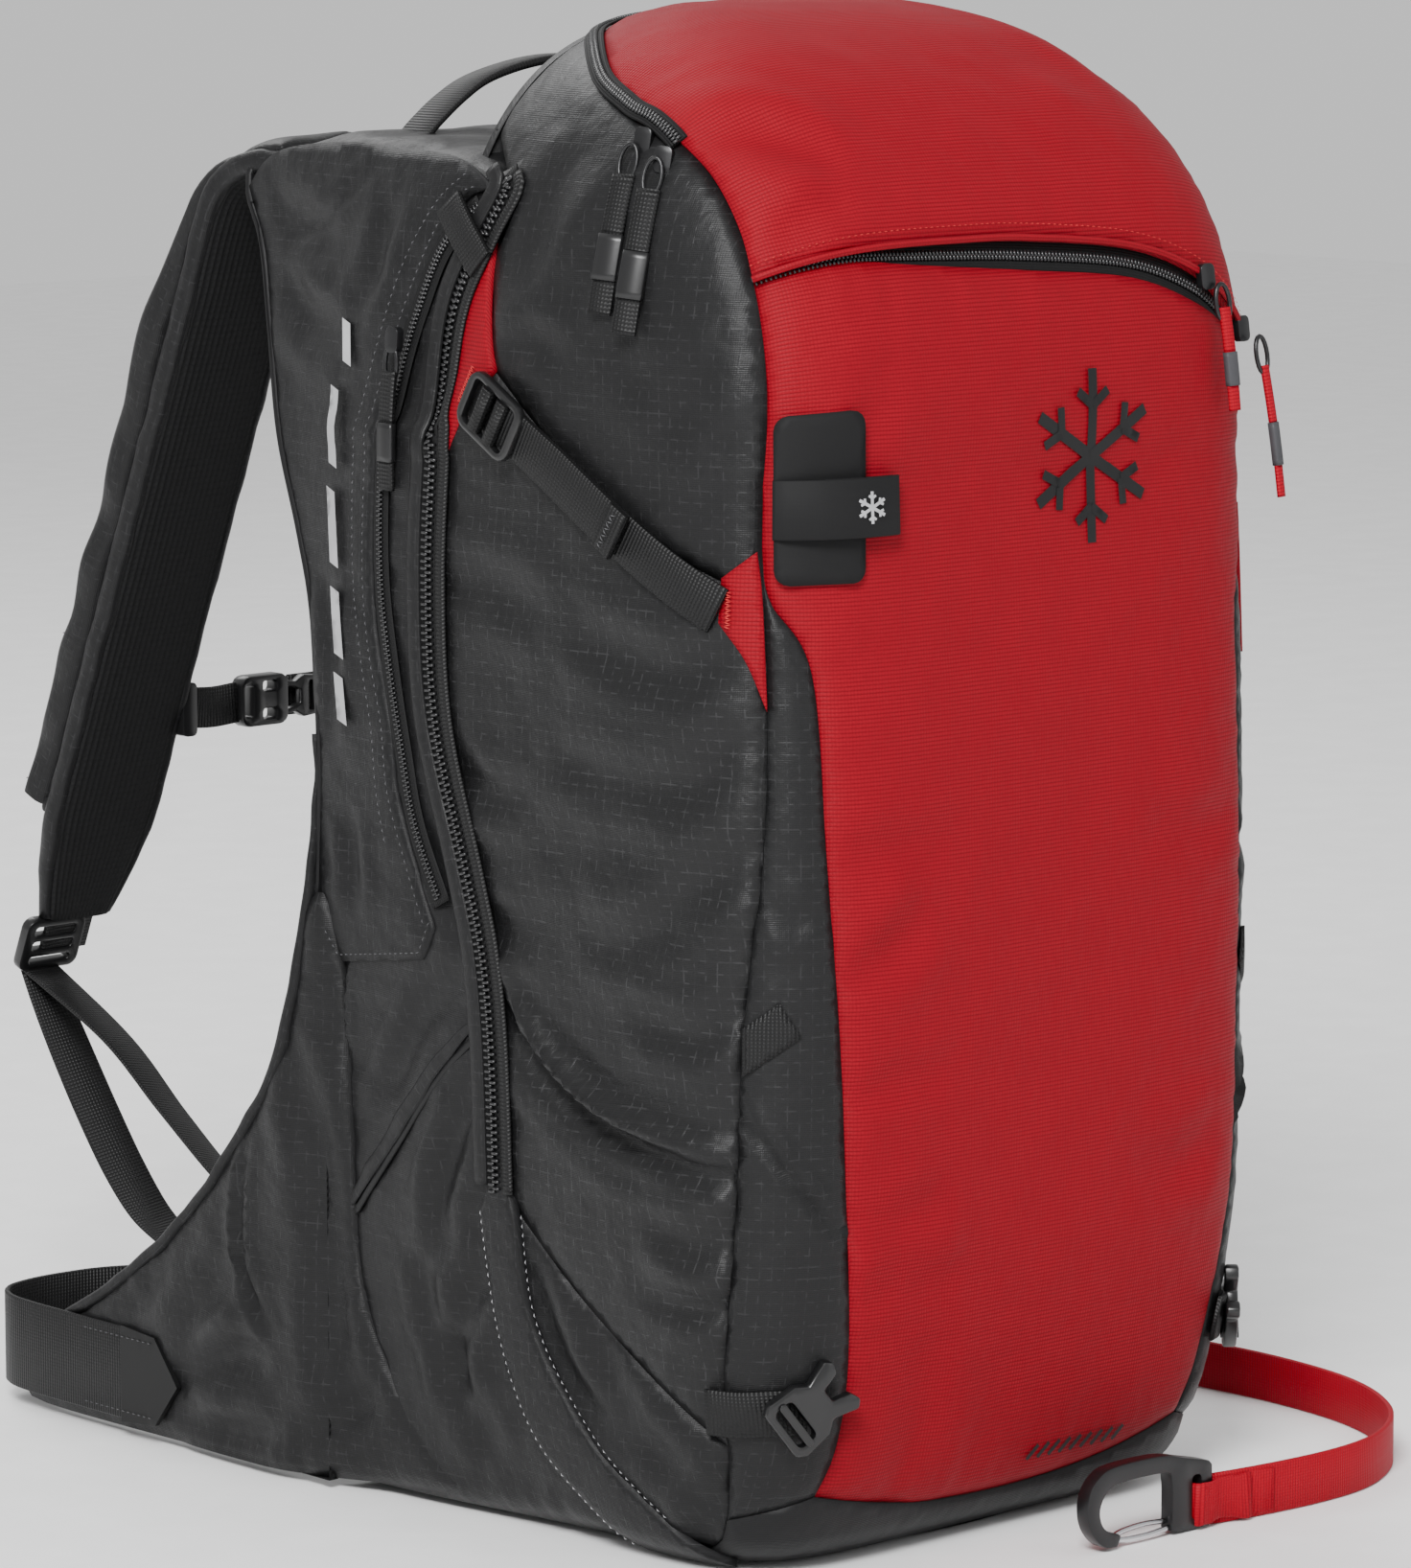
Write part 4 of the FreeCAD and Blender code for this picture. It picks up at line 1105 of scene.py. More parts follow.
# ---------------------------------------------------------------- airbag unit, flaps and zips
def back_edge():
    """Points (x, y, z) up the left bound edge of the airbag unit."""
    z = np.array([4, 60, 100, 180, 250, 316, 377, 413, 454, 500, 535, 556], float)
    rise = np.stack([-smooth_table(z, BACK_Z, BACK_X), smooth_table(z, BACK_Z, BACK_Y), z], 1)
    return np.vstack([rise, [(-112, 224, 569), (-102, 218, 571)]])


def make_airbag_unit():
    """Sides and back of the airbag unit, with its bound edges."""
    front = dense([(y, z) for z, y in ZIP_LINE[:-1]])
    edge = back_edge()[:-2, 1:]
    top = dense([tuple(front[-1]), (30, 574), (58, 578), (109, 580), (134, 581), (185, 577), (208, 570),
                 tuple(edge[-1])])
    foot = dense([tuple(edge[0]), tuple(front[0])])
    folds = [([(30, 245), (60, 215), (84, 180)], 1.8, 6), ([(52, 240), (76, 206), (98, 170)], 1.2, 5),
             ([(20, 120), (40, 90), (58, 40)], 2.0, 6), ([(28, 180), (48, 150), (52, 110)], 1.5, 6),
             ([(24, 205), (44, 165), (60, 130)], 1.4, 5), ([(66, 118), (56, 80), (30, 30)], 1.8, 7),
             ([(118, 238), (122, 215), (120, 190)], 1.8, 3), ([(60, 300), (44, 270), (30, 250)], 1.2, 5)]
    outline = np.array([(-144, 2), (-151, 100), (-151, 250), (-150, 316), (-147, 377), (-141, 413),
                        (-132, 454), (-122, 500), (-117, 535), (-116, 552)], float)
    left = dense(outline, 6)
    panel("unit_back",
          [left, dense([(-116, 552), (-96, 562), (0, 566), (96, 562), (116, 552)], 6), mirrored(left),
           dense([(144, 2), (-144, 2)], 8)], BACK, "black", spacing=8, seam=0.5, ripple=0.8, soft=0.8,
          seed=61.0, stands_for=("base_unit_shell",))
    for side in (LEFT, RIGHT):
        name, flip = SIDE_NAMES[side], side == RIGHT
        panel(f"unit_side_{name}", [front, top, edge[::-1], foot], UNIT, "plain", spacing=4.5, seam=1.2,
              ripple=1.8, reach=26, soft=2.0, folds=folds, seed=63.0 + side, mirror=flip, grain=side_grain)
        path = dense(back_edge(), 6) * (-side, 1, 1)
        slit = [(24, 216), (48, 195), (76, 163), (100, 137), (110, 126)]
        # Painted shadow: a black strip in the print material stands for the shade inside the slit pocket
        # opening.
        lay(f"slit_pocket_painted_shadow_{name}", surface_line(UNIT, slit, 1.0, 2.0, side), strap_profile(3.2, 1.6),
            "print")
        path_in, out = surface_line(UNIT, np.array(slit) + (3.4, 3.0), 1.6, 2.0, side)
        ends = np.sin(np.linspace(0.12, math.pi - 0.12, len(path_in))) ** 0.4
        lay(f"slit_pocket_lip_{name}", (path_in, out), pad_profile(8, 3.6, 2.3, 14), "plain",
            scale=np.stack([ends, ends], 1), bend=crumple(0.8, 14, 6.0))
        lay(f"unit_binding_{name}", (path, (-0.5 * -side, 0.86, 0)), pad_profile(6.5, 4.0, 2.4, 14),
            "black")


def make_airbag_flaps():
    """Long flaps over the airbag zips, cut off at their lower corners, with reflective bars."""
    front = dense([(29, 568), (47, 560), (67, 529), (79, 504), (90, 475), (93, 440), (93, 402), (88, 372),
                   (79, 341), (75, 312), (64, 285), (51, 257)])
    foot = dense([(51, 257), (58, 243), (117, 234), (134, 250)], 3, False)
    rear = dense([(134, 250), (136, 290), (137, 316), (144, 377), (159, 413), (183, 454), (201, 500),
                  (212, 535), (221, 556), (222, 559)])
    top = dense([(222, 559), (208, 571), (185, 578), (134, 582), (109, 581), (58, 579), (29, 568)])
    inner_line = [(44, 572), (60, 560), (80, 533), (92, 508), (103, 476), (106, 440), (104, 402), (97, 368),
                  (89, 338), (86, 312), (80, 290)]
    folds = [([(112, 572), (150, 552), (188, 536)], 0.9, 3), ([(95, 560), (106, 530), (120, 512)], 1.4, 6),
             ([(190, 520), (160, 505), (128, 500)], 1.8, 8), ([(200, 552), (170, 545), (140, 540)], 1.4, 8),
             ([(128, 330), (124, 360), (132, 400)], 1.2, 6), ([(112, 300), (108, 275), (110, 255)], 1.2, 5)]
    for side in (LEFT, RIGHT):
        name, flip = SIDE_NAMES[side], side == RIGHT
        panel(f"airbag_flap_{name}", [front, foot, rear, top], UNIT, "flap", spacing=4.5, seam=0.4,
              ripple=0.8, reach=22, soft=1.6, bulge=1.5, lift=2.2, folds=folds, seed=71.0 + side, skirt=2.6,
              mirror=flip, grain=side_grain, stands_for=(f"airbag_flap_{name}",))
        for line in (front[2:] + (3.0, 0.5), foot + np.array([0, 3.2]), np.array(inner_line, float)):
            stitches(*surface_line(UNIT, line, 4.2, 2.0, side), kind="thread")
        zip_path = [(34, 560), (54, 543), (68, 518), (79, 488), (85, 450), (85, 405), (78, 365), (70, 330),
                    (62, 300), (46, 268)]
        lay(f"airbag_zip_tape_{name}", surface_line(UNIT, zip_path, 1.8, 3.0, side), strap_profile(11, 1.0),
            "tape")
        path, out = surface_line(UNIT, zip_path, 2.3, 2.0, side)
        teeth(f"airbag_zip_teeth_{name}", path, out, 2.0, 2.6, 0.9, 1.1)
        bars = [(120, 498, 20), (124, 462, 34), (120, 420, 34), (114, 380, 30), (111, 348, 22)]
        lean = 0.16
        made = []
        for index, (y, z, length) in enumerate(bars):
            quad = [(y - 4, z - length / 2),
                    (y + 4, z - length / 2 + 2),
                    (y + 4 + lean * length, z + length / 2),
                    (y - 4 + lean * length, z + length / 2 - 2)]
            made.append(decal(f"reflective_bar_{name}_{index}", quad, UNIT, 5.4, flip))
        settle(join(f"reflective_bars_{name}", made), "reflective")


def make_expansion_zip():
    """Coarse zip between the bag and the airbag unit, with its braided tape and webbing keeper."""
    for side in (LEFT, RIGHT):
        name = SIDE_NAMES[side]
        line = [(y, z) for z, y in ZIP_LINE[4:-2]] + [(22, 573)]
        path, out = surface_line(SIDE, line, 2.0, 3.0, side)
        lay(f"expansion_tape_{name}", (path, out), strap_profile(12, 1.4), "tape",
            stands_for=("booster_zip",) if side == LEFT else ())
        path, out = surface_line(SIDE, line, 2.8, 2.0, side)
        teeth(f"expansion_teeth_{name}", path, out, 3.0, 4.2, 1.3, 1.5)
        braid, out = surface_line(SIDE, np.array(line) + (-7.5, 0), 2.4, 3.0, side)
        lay(f"expansion_braid_{name}", (braid, out), pad_profile(6.0, 3.0, 2.2, 12), "web")
        fold, out = surface_line(UNIT, np.array(line) + (9.0, 2.0), 2.0, 3.0, side)
        lay(f"expansion_welt_{name}", (fold, out), pad_profile(8.0, 3.4, 2.4, 12), "plain")
        lay(f"zip_keeper_{name}", surface_line(UNIT, [(50, 560), (38, 547), (27, 536)], 5.5, 3.0, side),
            strap_profile(15, 3.4), "web")


def make_top_zips():
    """Main zip round the lid and the front pocket's zip in its dark recess."""
    near = dense(arc([(-140, 501), (-138, 507), (-136, 512.5), (-123.5, 522.5), (-87, 536.5), (-62, 542.5)]))
    line = np.vstack([near, dense(arc([(-62, 542.5), (-30, 545), (30, 545), (62, 542.5)])), mirrored(near)])
    lay("main_zip_tape_strip", bag_line(line, 1.2), strap_profile(9, 1.4), "tape",
        stands_for=("main_zip_tape",))
    path, out = bag_line(line, 1.9)
    teeth("main_zip_teeth", path, out, 2.0, 2.8, 0.9, 1.1)
    lip, low = dense(POCKET_LIP, 4), dense(FRONT_TOP, 4)
    at = np.linspace(0, 1, 80)
    middle = np.stack([np.interp(at, np.linspace(0, 1, len(lip)), lip[:, k]) * 0.5
                       + np.interp(at, np.linspace(0, 1, len(low)), low[:, k]) * 0.5 for k in (0, 1)], 1)
    lay("pocket_zip_tape", bag_line(middle, -3.5), strap_profile(20, 1.4), "tape",
        stands_for=("front_pocket_zip",))
    path, out = bag_line(middle, -2.6)
    teeth("pocket_zip_teeth", path, out, 2.0, 2.8, 0.9, 1.2)
    lay("pocket_lip_hem", bag_line(dense(POCKET_LIP, 3), 2.4), pad_profile(3.0, 2.6, 2.2, 10), "red")
    stitches(*bag_line(dense(POCKET_LIP, 3) + (0, 5.5), 2.9), kind="red_thread", dash=2.2, gap=1.0,
             radius=0.22)


# ---------------------------------------------------------------- harness
STRAP_TOP = (285.0, 462.0)
STRAP_ANGLE = math.radians(-67.4)
STRAP_X = 85.0


def on_strap(along, out):
    """Point (y, z) along the shoulder strap's inner line and out from it."""
    y = STRAP_TOP[0] + along * math.cos(STRAP_ANGLE) - out * math.sin(STRAP_ANGLE)
    z = STRAP_TOP[1] + along * math.sin(STRAP_ANGLE) + out * math.cos(STRAP_ANGLE)
    return y, z


def crumple(amount, scale, seed):
    """Bend function that pushes ring points about with smooth noise."""
    def bend(rings):
        flat = rings.reshape(-1, 3)
        shift = np.array([noise.noise_vector(Vector(p / scale) + Vector((seed, 0, 0))) for p in flat])
        return (flat + shift * amount).reshape(rings.shape)
    return bend


def make_yoke():
    """Padded yoke from the airbag unit over to the strap tops, and the haul loop on it."""
    path = [(0, 34, 566), (0, 62, 571), (0, 100, 574), (0, 140, 576), (0, 180, 573), (0, 208, 566),
            (0, 222, 555)]
    path = dense(path, 5)
    share = np.linspace(0, 1, len(path))
    wide = np.stack([1.0 + 0.25 * (1 - share) ** 1.1, 1 - 0.2 * share ** 3], 1)
    yoke = sweep("yoke_cover", path, (0, 0, 1), pad_profile(234, 10, 5, 44), scale=wide,
                 bend=crumple(4.0, 34, 3.0))
    settle(inflate(yoke, 4.0), "plain", stands_for=("yoke",))
    drop = dense([(0, 128, 574), (0, 127, 556), (0, 126, 538), (0, 125, 522)], 5)
    back = sweep("yoke_back", drop, (0, 1, 0), pad_profile(206, 9, 5, 36), bend=crumple(2.5, 40, 5.0))
    settle(inflate(back, 3.0), "black")
    loop = [(-94, 150, 574), (-86, 150, 581), (-78, 150, 588), (-64, 150, 598), (-48, 150, 606),
            (-24, 149, 612), (0, 149, 614), (24, 149, 612), (48, 150, 607), (64, 150, 598), (78, 150, 588),
            (86, 150, 581), (94, 150, 574)]
    path = dense(loop, 3)
    out = np.gradient(path, axis=0)
    out = np.stack([-out[:, 2], np.zeros(len(path)), out[:, 0]], 1)
    roll = 0.35 * np.exp(-(path[:, 0] / 52) ** 4)
    narrow = np.stack([1 - roll, 1 + roll], 1)
    lay("haul_loop_webbing", (path, out), strap_profile(20, 2.6), "web", stands_for=("haul_loop",),
        scale=narrow)
    for side in (LEFT, RIGHT):
        for x in (92, 98):
            zigzag((side * x, 141, 582.4), (side * x, 159, 581.8), (0, 0, 1), 3.0, kind="thread")


def strap_path(start, end, out):
    """Points along the left shoulder strap at a distance out from its inner line."""
    marks = np.arange(start, end + 0.1, (end - start) / max(2, round((end - start) / 24)))
    return dense([(-STRAP_X, *on_strap(along, out)) for along in marks], 5.0)


def make_shoulder_straps():
    """Padded straps: outer cloth, mesh lining, rolled edges and the buckle tongue at the lower end."""
    core = 6.5
    for side in (LEFT, RIGHT):
        name = SIDE_NAMES[side]

        bend_over = [(200 + 0.2 * core, 564 + core),
                     (224 + 0.5 * core, 562 + core),
                     (246 + core, 550 + 0.7 * core)]
        straight = [on_strap(along, core) for along in np.linspace(-48, 272, 12)]
        middle = dense([(side * STRAP_X, y, z) for y, z in bend_over + straight], 5)
        out = side_out(unit(np.gradient(middle, axis=0)))
        outer, inner = middle + out * 3, middle - out * 3
        share = np.linspace(0, 1, len(middle))
        taper = 1 - 0.38 * np.clip((share - 0.86) / 0.14, 0, 1) ** 1.5
        thin = 1 - 0.35 * np.clip((share - 0.9) / 0.1, 0, 1)
        scale = np.stack([taper, thin], 1)
        cover = sweep(f"strap_cover_{name}", outer, out, pad_profile(58, 9.5, 3.4, 26, top=1.3), scale=scale,
                      bend=crumple(2.2, 26, 7.0 + side))
        settle(inflate(cover, 3.5), "plain", stands_for=(f"shoulder_strap_{name}",))
        lay(f"strap_lining_{name}", (inner, out), pad_profile(54, 8, 3.4, 26), "mesh", fill=0.6,
            scale=scale)
        for edge in (-1, 1):
            shift = middle.copy()
            shift[:, 0] += edge * 28.0 * taper
            lay(f"strap_piping_{name}_{'inner' if edge == -side else 'outer'}", (shift, out),
                pad_profile(7.0, 10.5, 2.3, 14), "flap", scale=np.stack([0.6 + 0.4 * taper, thin], 1),
                bend=crumple(0.8, 14, 9.0))
        tongue = dense([(side * 88, *on_strap(a, 6.0)) for a in (258, 270, 282, 290)], 3)
        lay(f"strap_tongue_{name}", (tongue, out[-1]), strap_profile(26, 3.2), "web")


def make_trigger_pouch():
    """Zipped pouch on the left strap that holds the trigger handle."""
    crest = [(-85, 226, 570), (-85, 246, 566), (-85, 264, 553), (-85, 277, 534)]
    path = dense(crest + [(-85, *on_strap(along, 24.5)) for along in (-40, 0, 50, 100, 150, 190, 218)], 5)
    out = side_out(np.gradient(path, axis=0))
    share = np.linspace(0, 1, len(path))
    swell = 0.35 + 0.65 * np.clip(share / 0.35, 0, 1) ** 0.8
    waist = 1 - 0.10 * np.exp(-((share - 0.72) / 0.025) ** 2)
    lay("trigger_pouch_cover", (path, out), pad_profile(56, 21, 3.6, 32, top=1.0), "plain",
        stands_for=("trigger_pouch",), fill=0.5, caps=False,
        scale=np.stack([0.96 + 0.04 * swell, swell * waist], 1), bend=crumple(3.2, 30, 12.0))
    for along in (138, 214):
        across = [(x, *on_strap(along, 36.6 - abs(x + 85) * 0.05)) for x in np.linspace(-109, -61, 9)]
        stitches(across, out[-1], kind="thread", lift=0.6)
    flap = [(x, *on_strap(216, 15)) for x in (-112, -85, -58)]
    lay("pouch_hem", (dense(flap, 4), out[-1]), pad_profile(7, 4, 2.4, 12), "black")
    grip = strap_path(144, 217, 25.0)
    lay("trigger_grip", (grip, out[-1]), pad_profile(38, 9.0, 2.6, 24), "handle", "trigger",
        ("trigger_handle",),
        scale=np.stack([np.clip(1 - 0.45 * np.exp(-((np.linspace(0, 1, len(grip)) - 0.35) / 0.25) ** 2), 0,
                                1), np.ones(len(grip))], 1))


def make_strap_webbing():
    """Ladder locks and the two runs of webbing below each strap."""
    for side in (LEFT, RIGHT):
        name = SIDE_NAMES[side]
        centre = (side * 96, *on_strap(286, 6.5))
        down = (0, math.cos(STRAP_ANGLE), math.sin(STRAP_ANGLE))
        place = plate_frame(centre, (1, 0, 0), down)
        holes = [rounded(23, 4.6, 1.6, (0, -7.2)), rounded(23, 4.6, 1.6, (0, 0.6)),
                 rounded(23, 3.2, 1.4, (0, 8.0))]
        lock = slab(f"ladder_lock_body_{name}", rounded(34, 27, 5), place, 5.5, holes, edge=1.0)
        settle(lock, "plastic", stands_for=(f"ladder_lock_{name}",))
        start = (side * 98, *on_strap(300, 8))
        main = dense([start, (side * 98, 348, 161), (side * 98, 308, 133), (side * 98, 266, 106),
                      (side * 98, 226, 88), (side * 98, 190, 74), (side * 98, 150, 60),
                      (side * 98, 124, 52)], 4)
        tail = dense([start, (side * 98, 396, 170), (side * 98, 380, 147), (side * 98, 363, 124),
                      (side * 98, 345, 102), (side * 98, 326, 84), (side * 98, 306, 73)], 4)
        for part, path, turn in (("main", main, 0.35), ("tail", tail, -0.45)):
            out = side_out(unit(np.gradient(path, axis=0)))
            twist = turn * np.sin(np.linspace(0, math.pi, len(path)))[:, None] * side
            out = out + twist * np.array([1.0, 0, 0])
            lay(f"strap_webbing_{part}_{name}", (path, out), strap_profile(20, 2.0), "web",
                stands_for=(f"strap_webbing_{name}",) if part == "main" else ())


def make_sternum_strap():
    """Chest strap: clips on the shoulder straps, webbing and a side release buckle."""
    clips = []
    for side in (LEFT, RIGHT):
        place = plate_frame((side * 52.2, 355, 310), (1, 0, 0), (0, 0, 1))
        clips.append(slab(f"sternum_clip_{SIDE_NAMES[side]}", rounded(8, 25, 2.5), place, 12, edge=1.2))
    settle(join("sternum_clip_pair", clips), "plastic", stands_for=("sternum_clips",))
    path = dense([(-49, 355, 310), (-34, 355.6, 309), (-20, 355, 310)])
    lay("sternum_webbing_left", (path, (0, 1, 0)), strap_profile(19, 2.2), "web",
        stands_for=("sternum_webbing",))
    path = dense([(14, 359.3, 310), (32, 359.5, 310), (49, 359.3, 310)])
    lay("sternum_webbing_right", (path, (0, 1, 0)), strap_profile(19, 2.2), "web")
    place = plate_frame((-6, 355, 310), (1, 0, 0), (0, 0, 1))
    holes = [rounded(5, 15, 1.6, (-9.5, 0)), rounded(8, 5, 1.5, (3, 6.5)), rounded(8, 5, 1.5, (3, -6.5))]
    female = slab("sternum_buckle_female", rounded(28, 24, 5), place, 9, holes, edge=1.4)
    settle(female, "plastic", stands_for=("sternum_female",))
    prongs = [(-8, -8), (-6, -9.5), (4, -7), (9, -10), (19, -9), (19, 9), (9, 10), (4, 7), (-6, 9.5), (-8, 8),
              (-5, 6), (4, 4.5), (7, 3), (7, -3), (4, -4.5), (-5, -6)]
    place = plate_frame((8.8, 353.8, 310), (1, 0, 0), (0, 0, 1))
    male = slab("sternum_buckle_male", prongs, place, 5, [rounded(4, 14, 1.4, (14, 0))], edge=0.9)
    settle(male, "plastic", "sternum_release", ("sternum_male",))


def make_pads():
    """Back pad and lumbar pad: moulded foam under spacer mesh with air channels."""
    def plane(depth):
        def flat(x, z):
            return np.stack([x, np.full_like(x, depth), z], 1)
        return with_normals(flat, (0, 1, 0))
    left = dense([(-112, 120), (-122, 200), (-130, 330), (-124, 430), (-104, 500), (-92, 524)], 5)
    top = dense([(-92, 524), (0, 528), (92, 524)], 6)
    foot = dense([(112, 120), (0, 116), (-112, 120)], 6)
    channels = [([(0, 122), (0, 240), (0, 400), (0, 522)], 3.8, 7)]
    for z in (200, 285, 370, 450):
        for side in (LEFT, RIGHT):
            channels.append(([(side * 6, z - 14), (side * 60, z), (side * 118, z + 22)], 2.5, 4.5))
    panel("back_pad_cover", [left, top, mirrored(left), foot], plane(129), "mesh", spacing=5, seam=4.5,
          ripple=0.4, reach=12, soft=0.8, bulge=5.0, folds=channels, seed=81.0, skirt=2.5,
          stands_for=("back_pad",), fill=0.7)
    rim = np.vstack([left, top[1:], mirrored(left)[1:], foot[1:-1]])
    path = np.stack([rim[:, 0], np.full(len(rim), 126.5), rim[:, 1]], 1)
    lay("back_pad_binding", (path, (0, 1, 0)), pad_profile(6, 4.5, 2.4, 12), "black", closed=True)
    low = [dense([(-80, 18), (-84, 62), (-76, 108)], 4), dense([(-76, 108), (0, 112), (76, 108)], 5),
           dense([(76, 108), (84, 62), (80, 18)], 4), dense([(80, 18), (0, 14), (-80, 18)], 5)]
    panel("lumbar_pad_cover", low, plane(130), "mesh", spacing=4, seam=6, ripple=0.5, reach=10, soft=0.8,
          bulge=16, folds=[([(0, 20), (0, 60), (0, 106)], 2.8, 6)], seed=84.0, skirt=2.0,
          stands_for=("lumbar_pad",), fill=0.8)


# ---------------------------------------------------------------- hip belt
WING_TOP = [(337, 11), (329, 34), (310, 47), (285, 61), (257, 79), (230, 100), (206, 123), (186, 146),
            (162, 178), (149, 210), (141, 253)]


def wing_surface(y, z):
    """Outer face of the left hip wing, which grows out of the airbag unit's side."""
    side = -unit_surface(np.minimum(y, 128), z)[:, 0]
    t = np.clip((y - 96) / 64, 0, 1)
    t = t * t * (3 - 2 * t)
    return np.stack([-(side * (1 - t) + 159.5 * t), y, z], 1)


def wing_inner(y, z):
    return np.stack([np.full_like(y, -150.5), y, z], 1)


def make_wings():
    """Hip wings: padded covers with a bound top edge, mesh lining, belt webbing and end plates."""
    outer, inner = with_normals(wing_surface, (-1, 0, 0)), with_normals(wing_inner, (1, 0, 0))
    top = dense(WING_TOP)
    front = dense([(141, 253), (131, 262), (121, 240), (114, 180), (111, 128), (111, 111), (105, 86),
                   (92, 56), (72, 30), (46, 9)])
    foot = dense([(46, 8), (100, 5), (200, 4), (326, 4), (337, 11)])
    lining_front = dense([(141, 253), (130, 246), (128, 120), (128, 4)])
    lining_foot = dense([(128, 4), (220, 4), (326, 4), (337, 11)])
    folds = [([(176, 150), (181, 120), (178, 92), (158, 62)], 1.6, 2.4),
             ([(226, 30), (190, 50), (160, 52)], 2.2, 7),
             ([(228, 40), (200, 75), (185, 92)], 1.6, 7),
             ([(224, 18), (180, 16), (150, 24)], 2.0, 6),
             ([(150, 200), (132, 150), (128, 110)], 1.5, 8),
             ([(122, 120), (124, 70), (112, 30)], 1.6, 8),
             ([(262, 60), (246, 74), (232, 92)], 1.2, 6),
             ([(96, 50), (120, 34), (150, 20)], 1.5, 7)]
    for side in (LEFT, RIGHT):
        name, flip = SIDE_NAMES[side], side == RIGHT
        bend = ("pack", f"wing_{name}", (side * 0.1555, 0.119, 0.1), (side * 0.1555, 0.178, 0.1))
        wing = f"wing_{name}"
        panel(f"hip_wing_cover_{name}", [foot, top, front], outer, "plain", bend, spacing=4.5, seam=2.2,
              ripple=1.4, reach=22, soft=1.8, bulge=2.5, lift=1.6, folds=folds, seed=91.0 + side, skirt=5.5,
              mirror=flip, grain=side_grain, stands_for=(f"hip_wing_{name}",), fill=0.5)
        panel(f"hip_wing_lining_{name}", [lining_foot, top, lining_front], inner, "mesh", bend, spacing=6,
              seam=1.0, ripple=0.5, soft=0.8, bulge=1.5, seed=95.0, skirt=5.0, mirror=flip, fill=0.5)
        edge = dense(WING_TOP + [(138.5, 280), (138, 306), (138, 330)], 4)
        settle_in = np.clip((edge[:, 1] - 215) / 95, 0, 1)
        path = np.stack([side * (155.0 - 4.5 * settle_in), edge[:, 0], edge[:, 1]], 1)
        run = np.gradient(path, axis=0)
        out = np.stack([np.zeros(len(path)), run[:, 2], -run[:, 1]], 1)
        slim = 1 - 0.55 * settle_in
        lay(f"hip_wing_binding_{name}", (path, out), pad_profile(13.5, 7, 2.6, 16), "flap", bend,
            scale=np.stack([slim, slim], 1), bend=crumple(0.8, 16, 2.0))
        patch = [(262, 52), (238, 50), (222, 30), (238, 10), (262, 8)]
        patch = dense(patch + patch[:1], 3, False)[:-1]
        sewn = slab(f"belt_patch_{name}", patch, lambda a, b, h,
                    s=side: np.stack([s * (164.4 + h), a, b], 1), 2.4, edge=0.6, spacing=8)
        settle(sewn, "web", wing)
        belt = [(163.45, 256), (163.45, 300), (163, 330), (160, 350), (150, 364), (131.5, 369), (112, 368.5),
                (97.5, 366), (84, 360), (75.5, 352)]
        path = dense([(side * x, y, 30) for x, y in belt], 4)
        lay(f"belt_webbing_{name}", (path, level_out(path)), strap_profile(42, 2.4), "web", wing,
            (f"hip_webbing_{name}",))
        for z in (13, 47):
            stitches([(side * 165.8, y, z) for y in np.linspace(240, 292, 27)], (side, 0, 0), wing,
                     "thread")
        place = plate_frame((side * 59, 350, 30), (1, 0, 0), (0, 0, 1))
        holes = [rounded(5, 40, 2, (side * 10, 0)), rounded(7, 26, 3, (side * -6, 0))]
        plate = slab(f"belt_plate_{name}", rounded(30, 50, 6), place, 6, holes, edge=1.2)
        settle(plate, "anodised", wing, ("hip_hook_plate" if side == LEFT else "hip_loop_plate",))


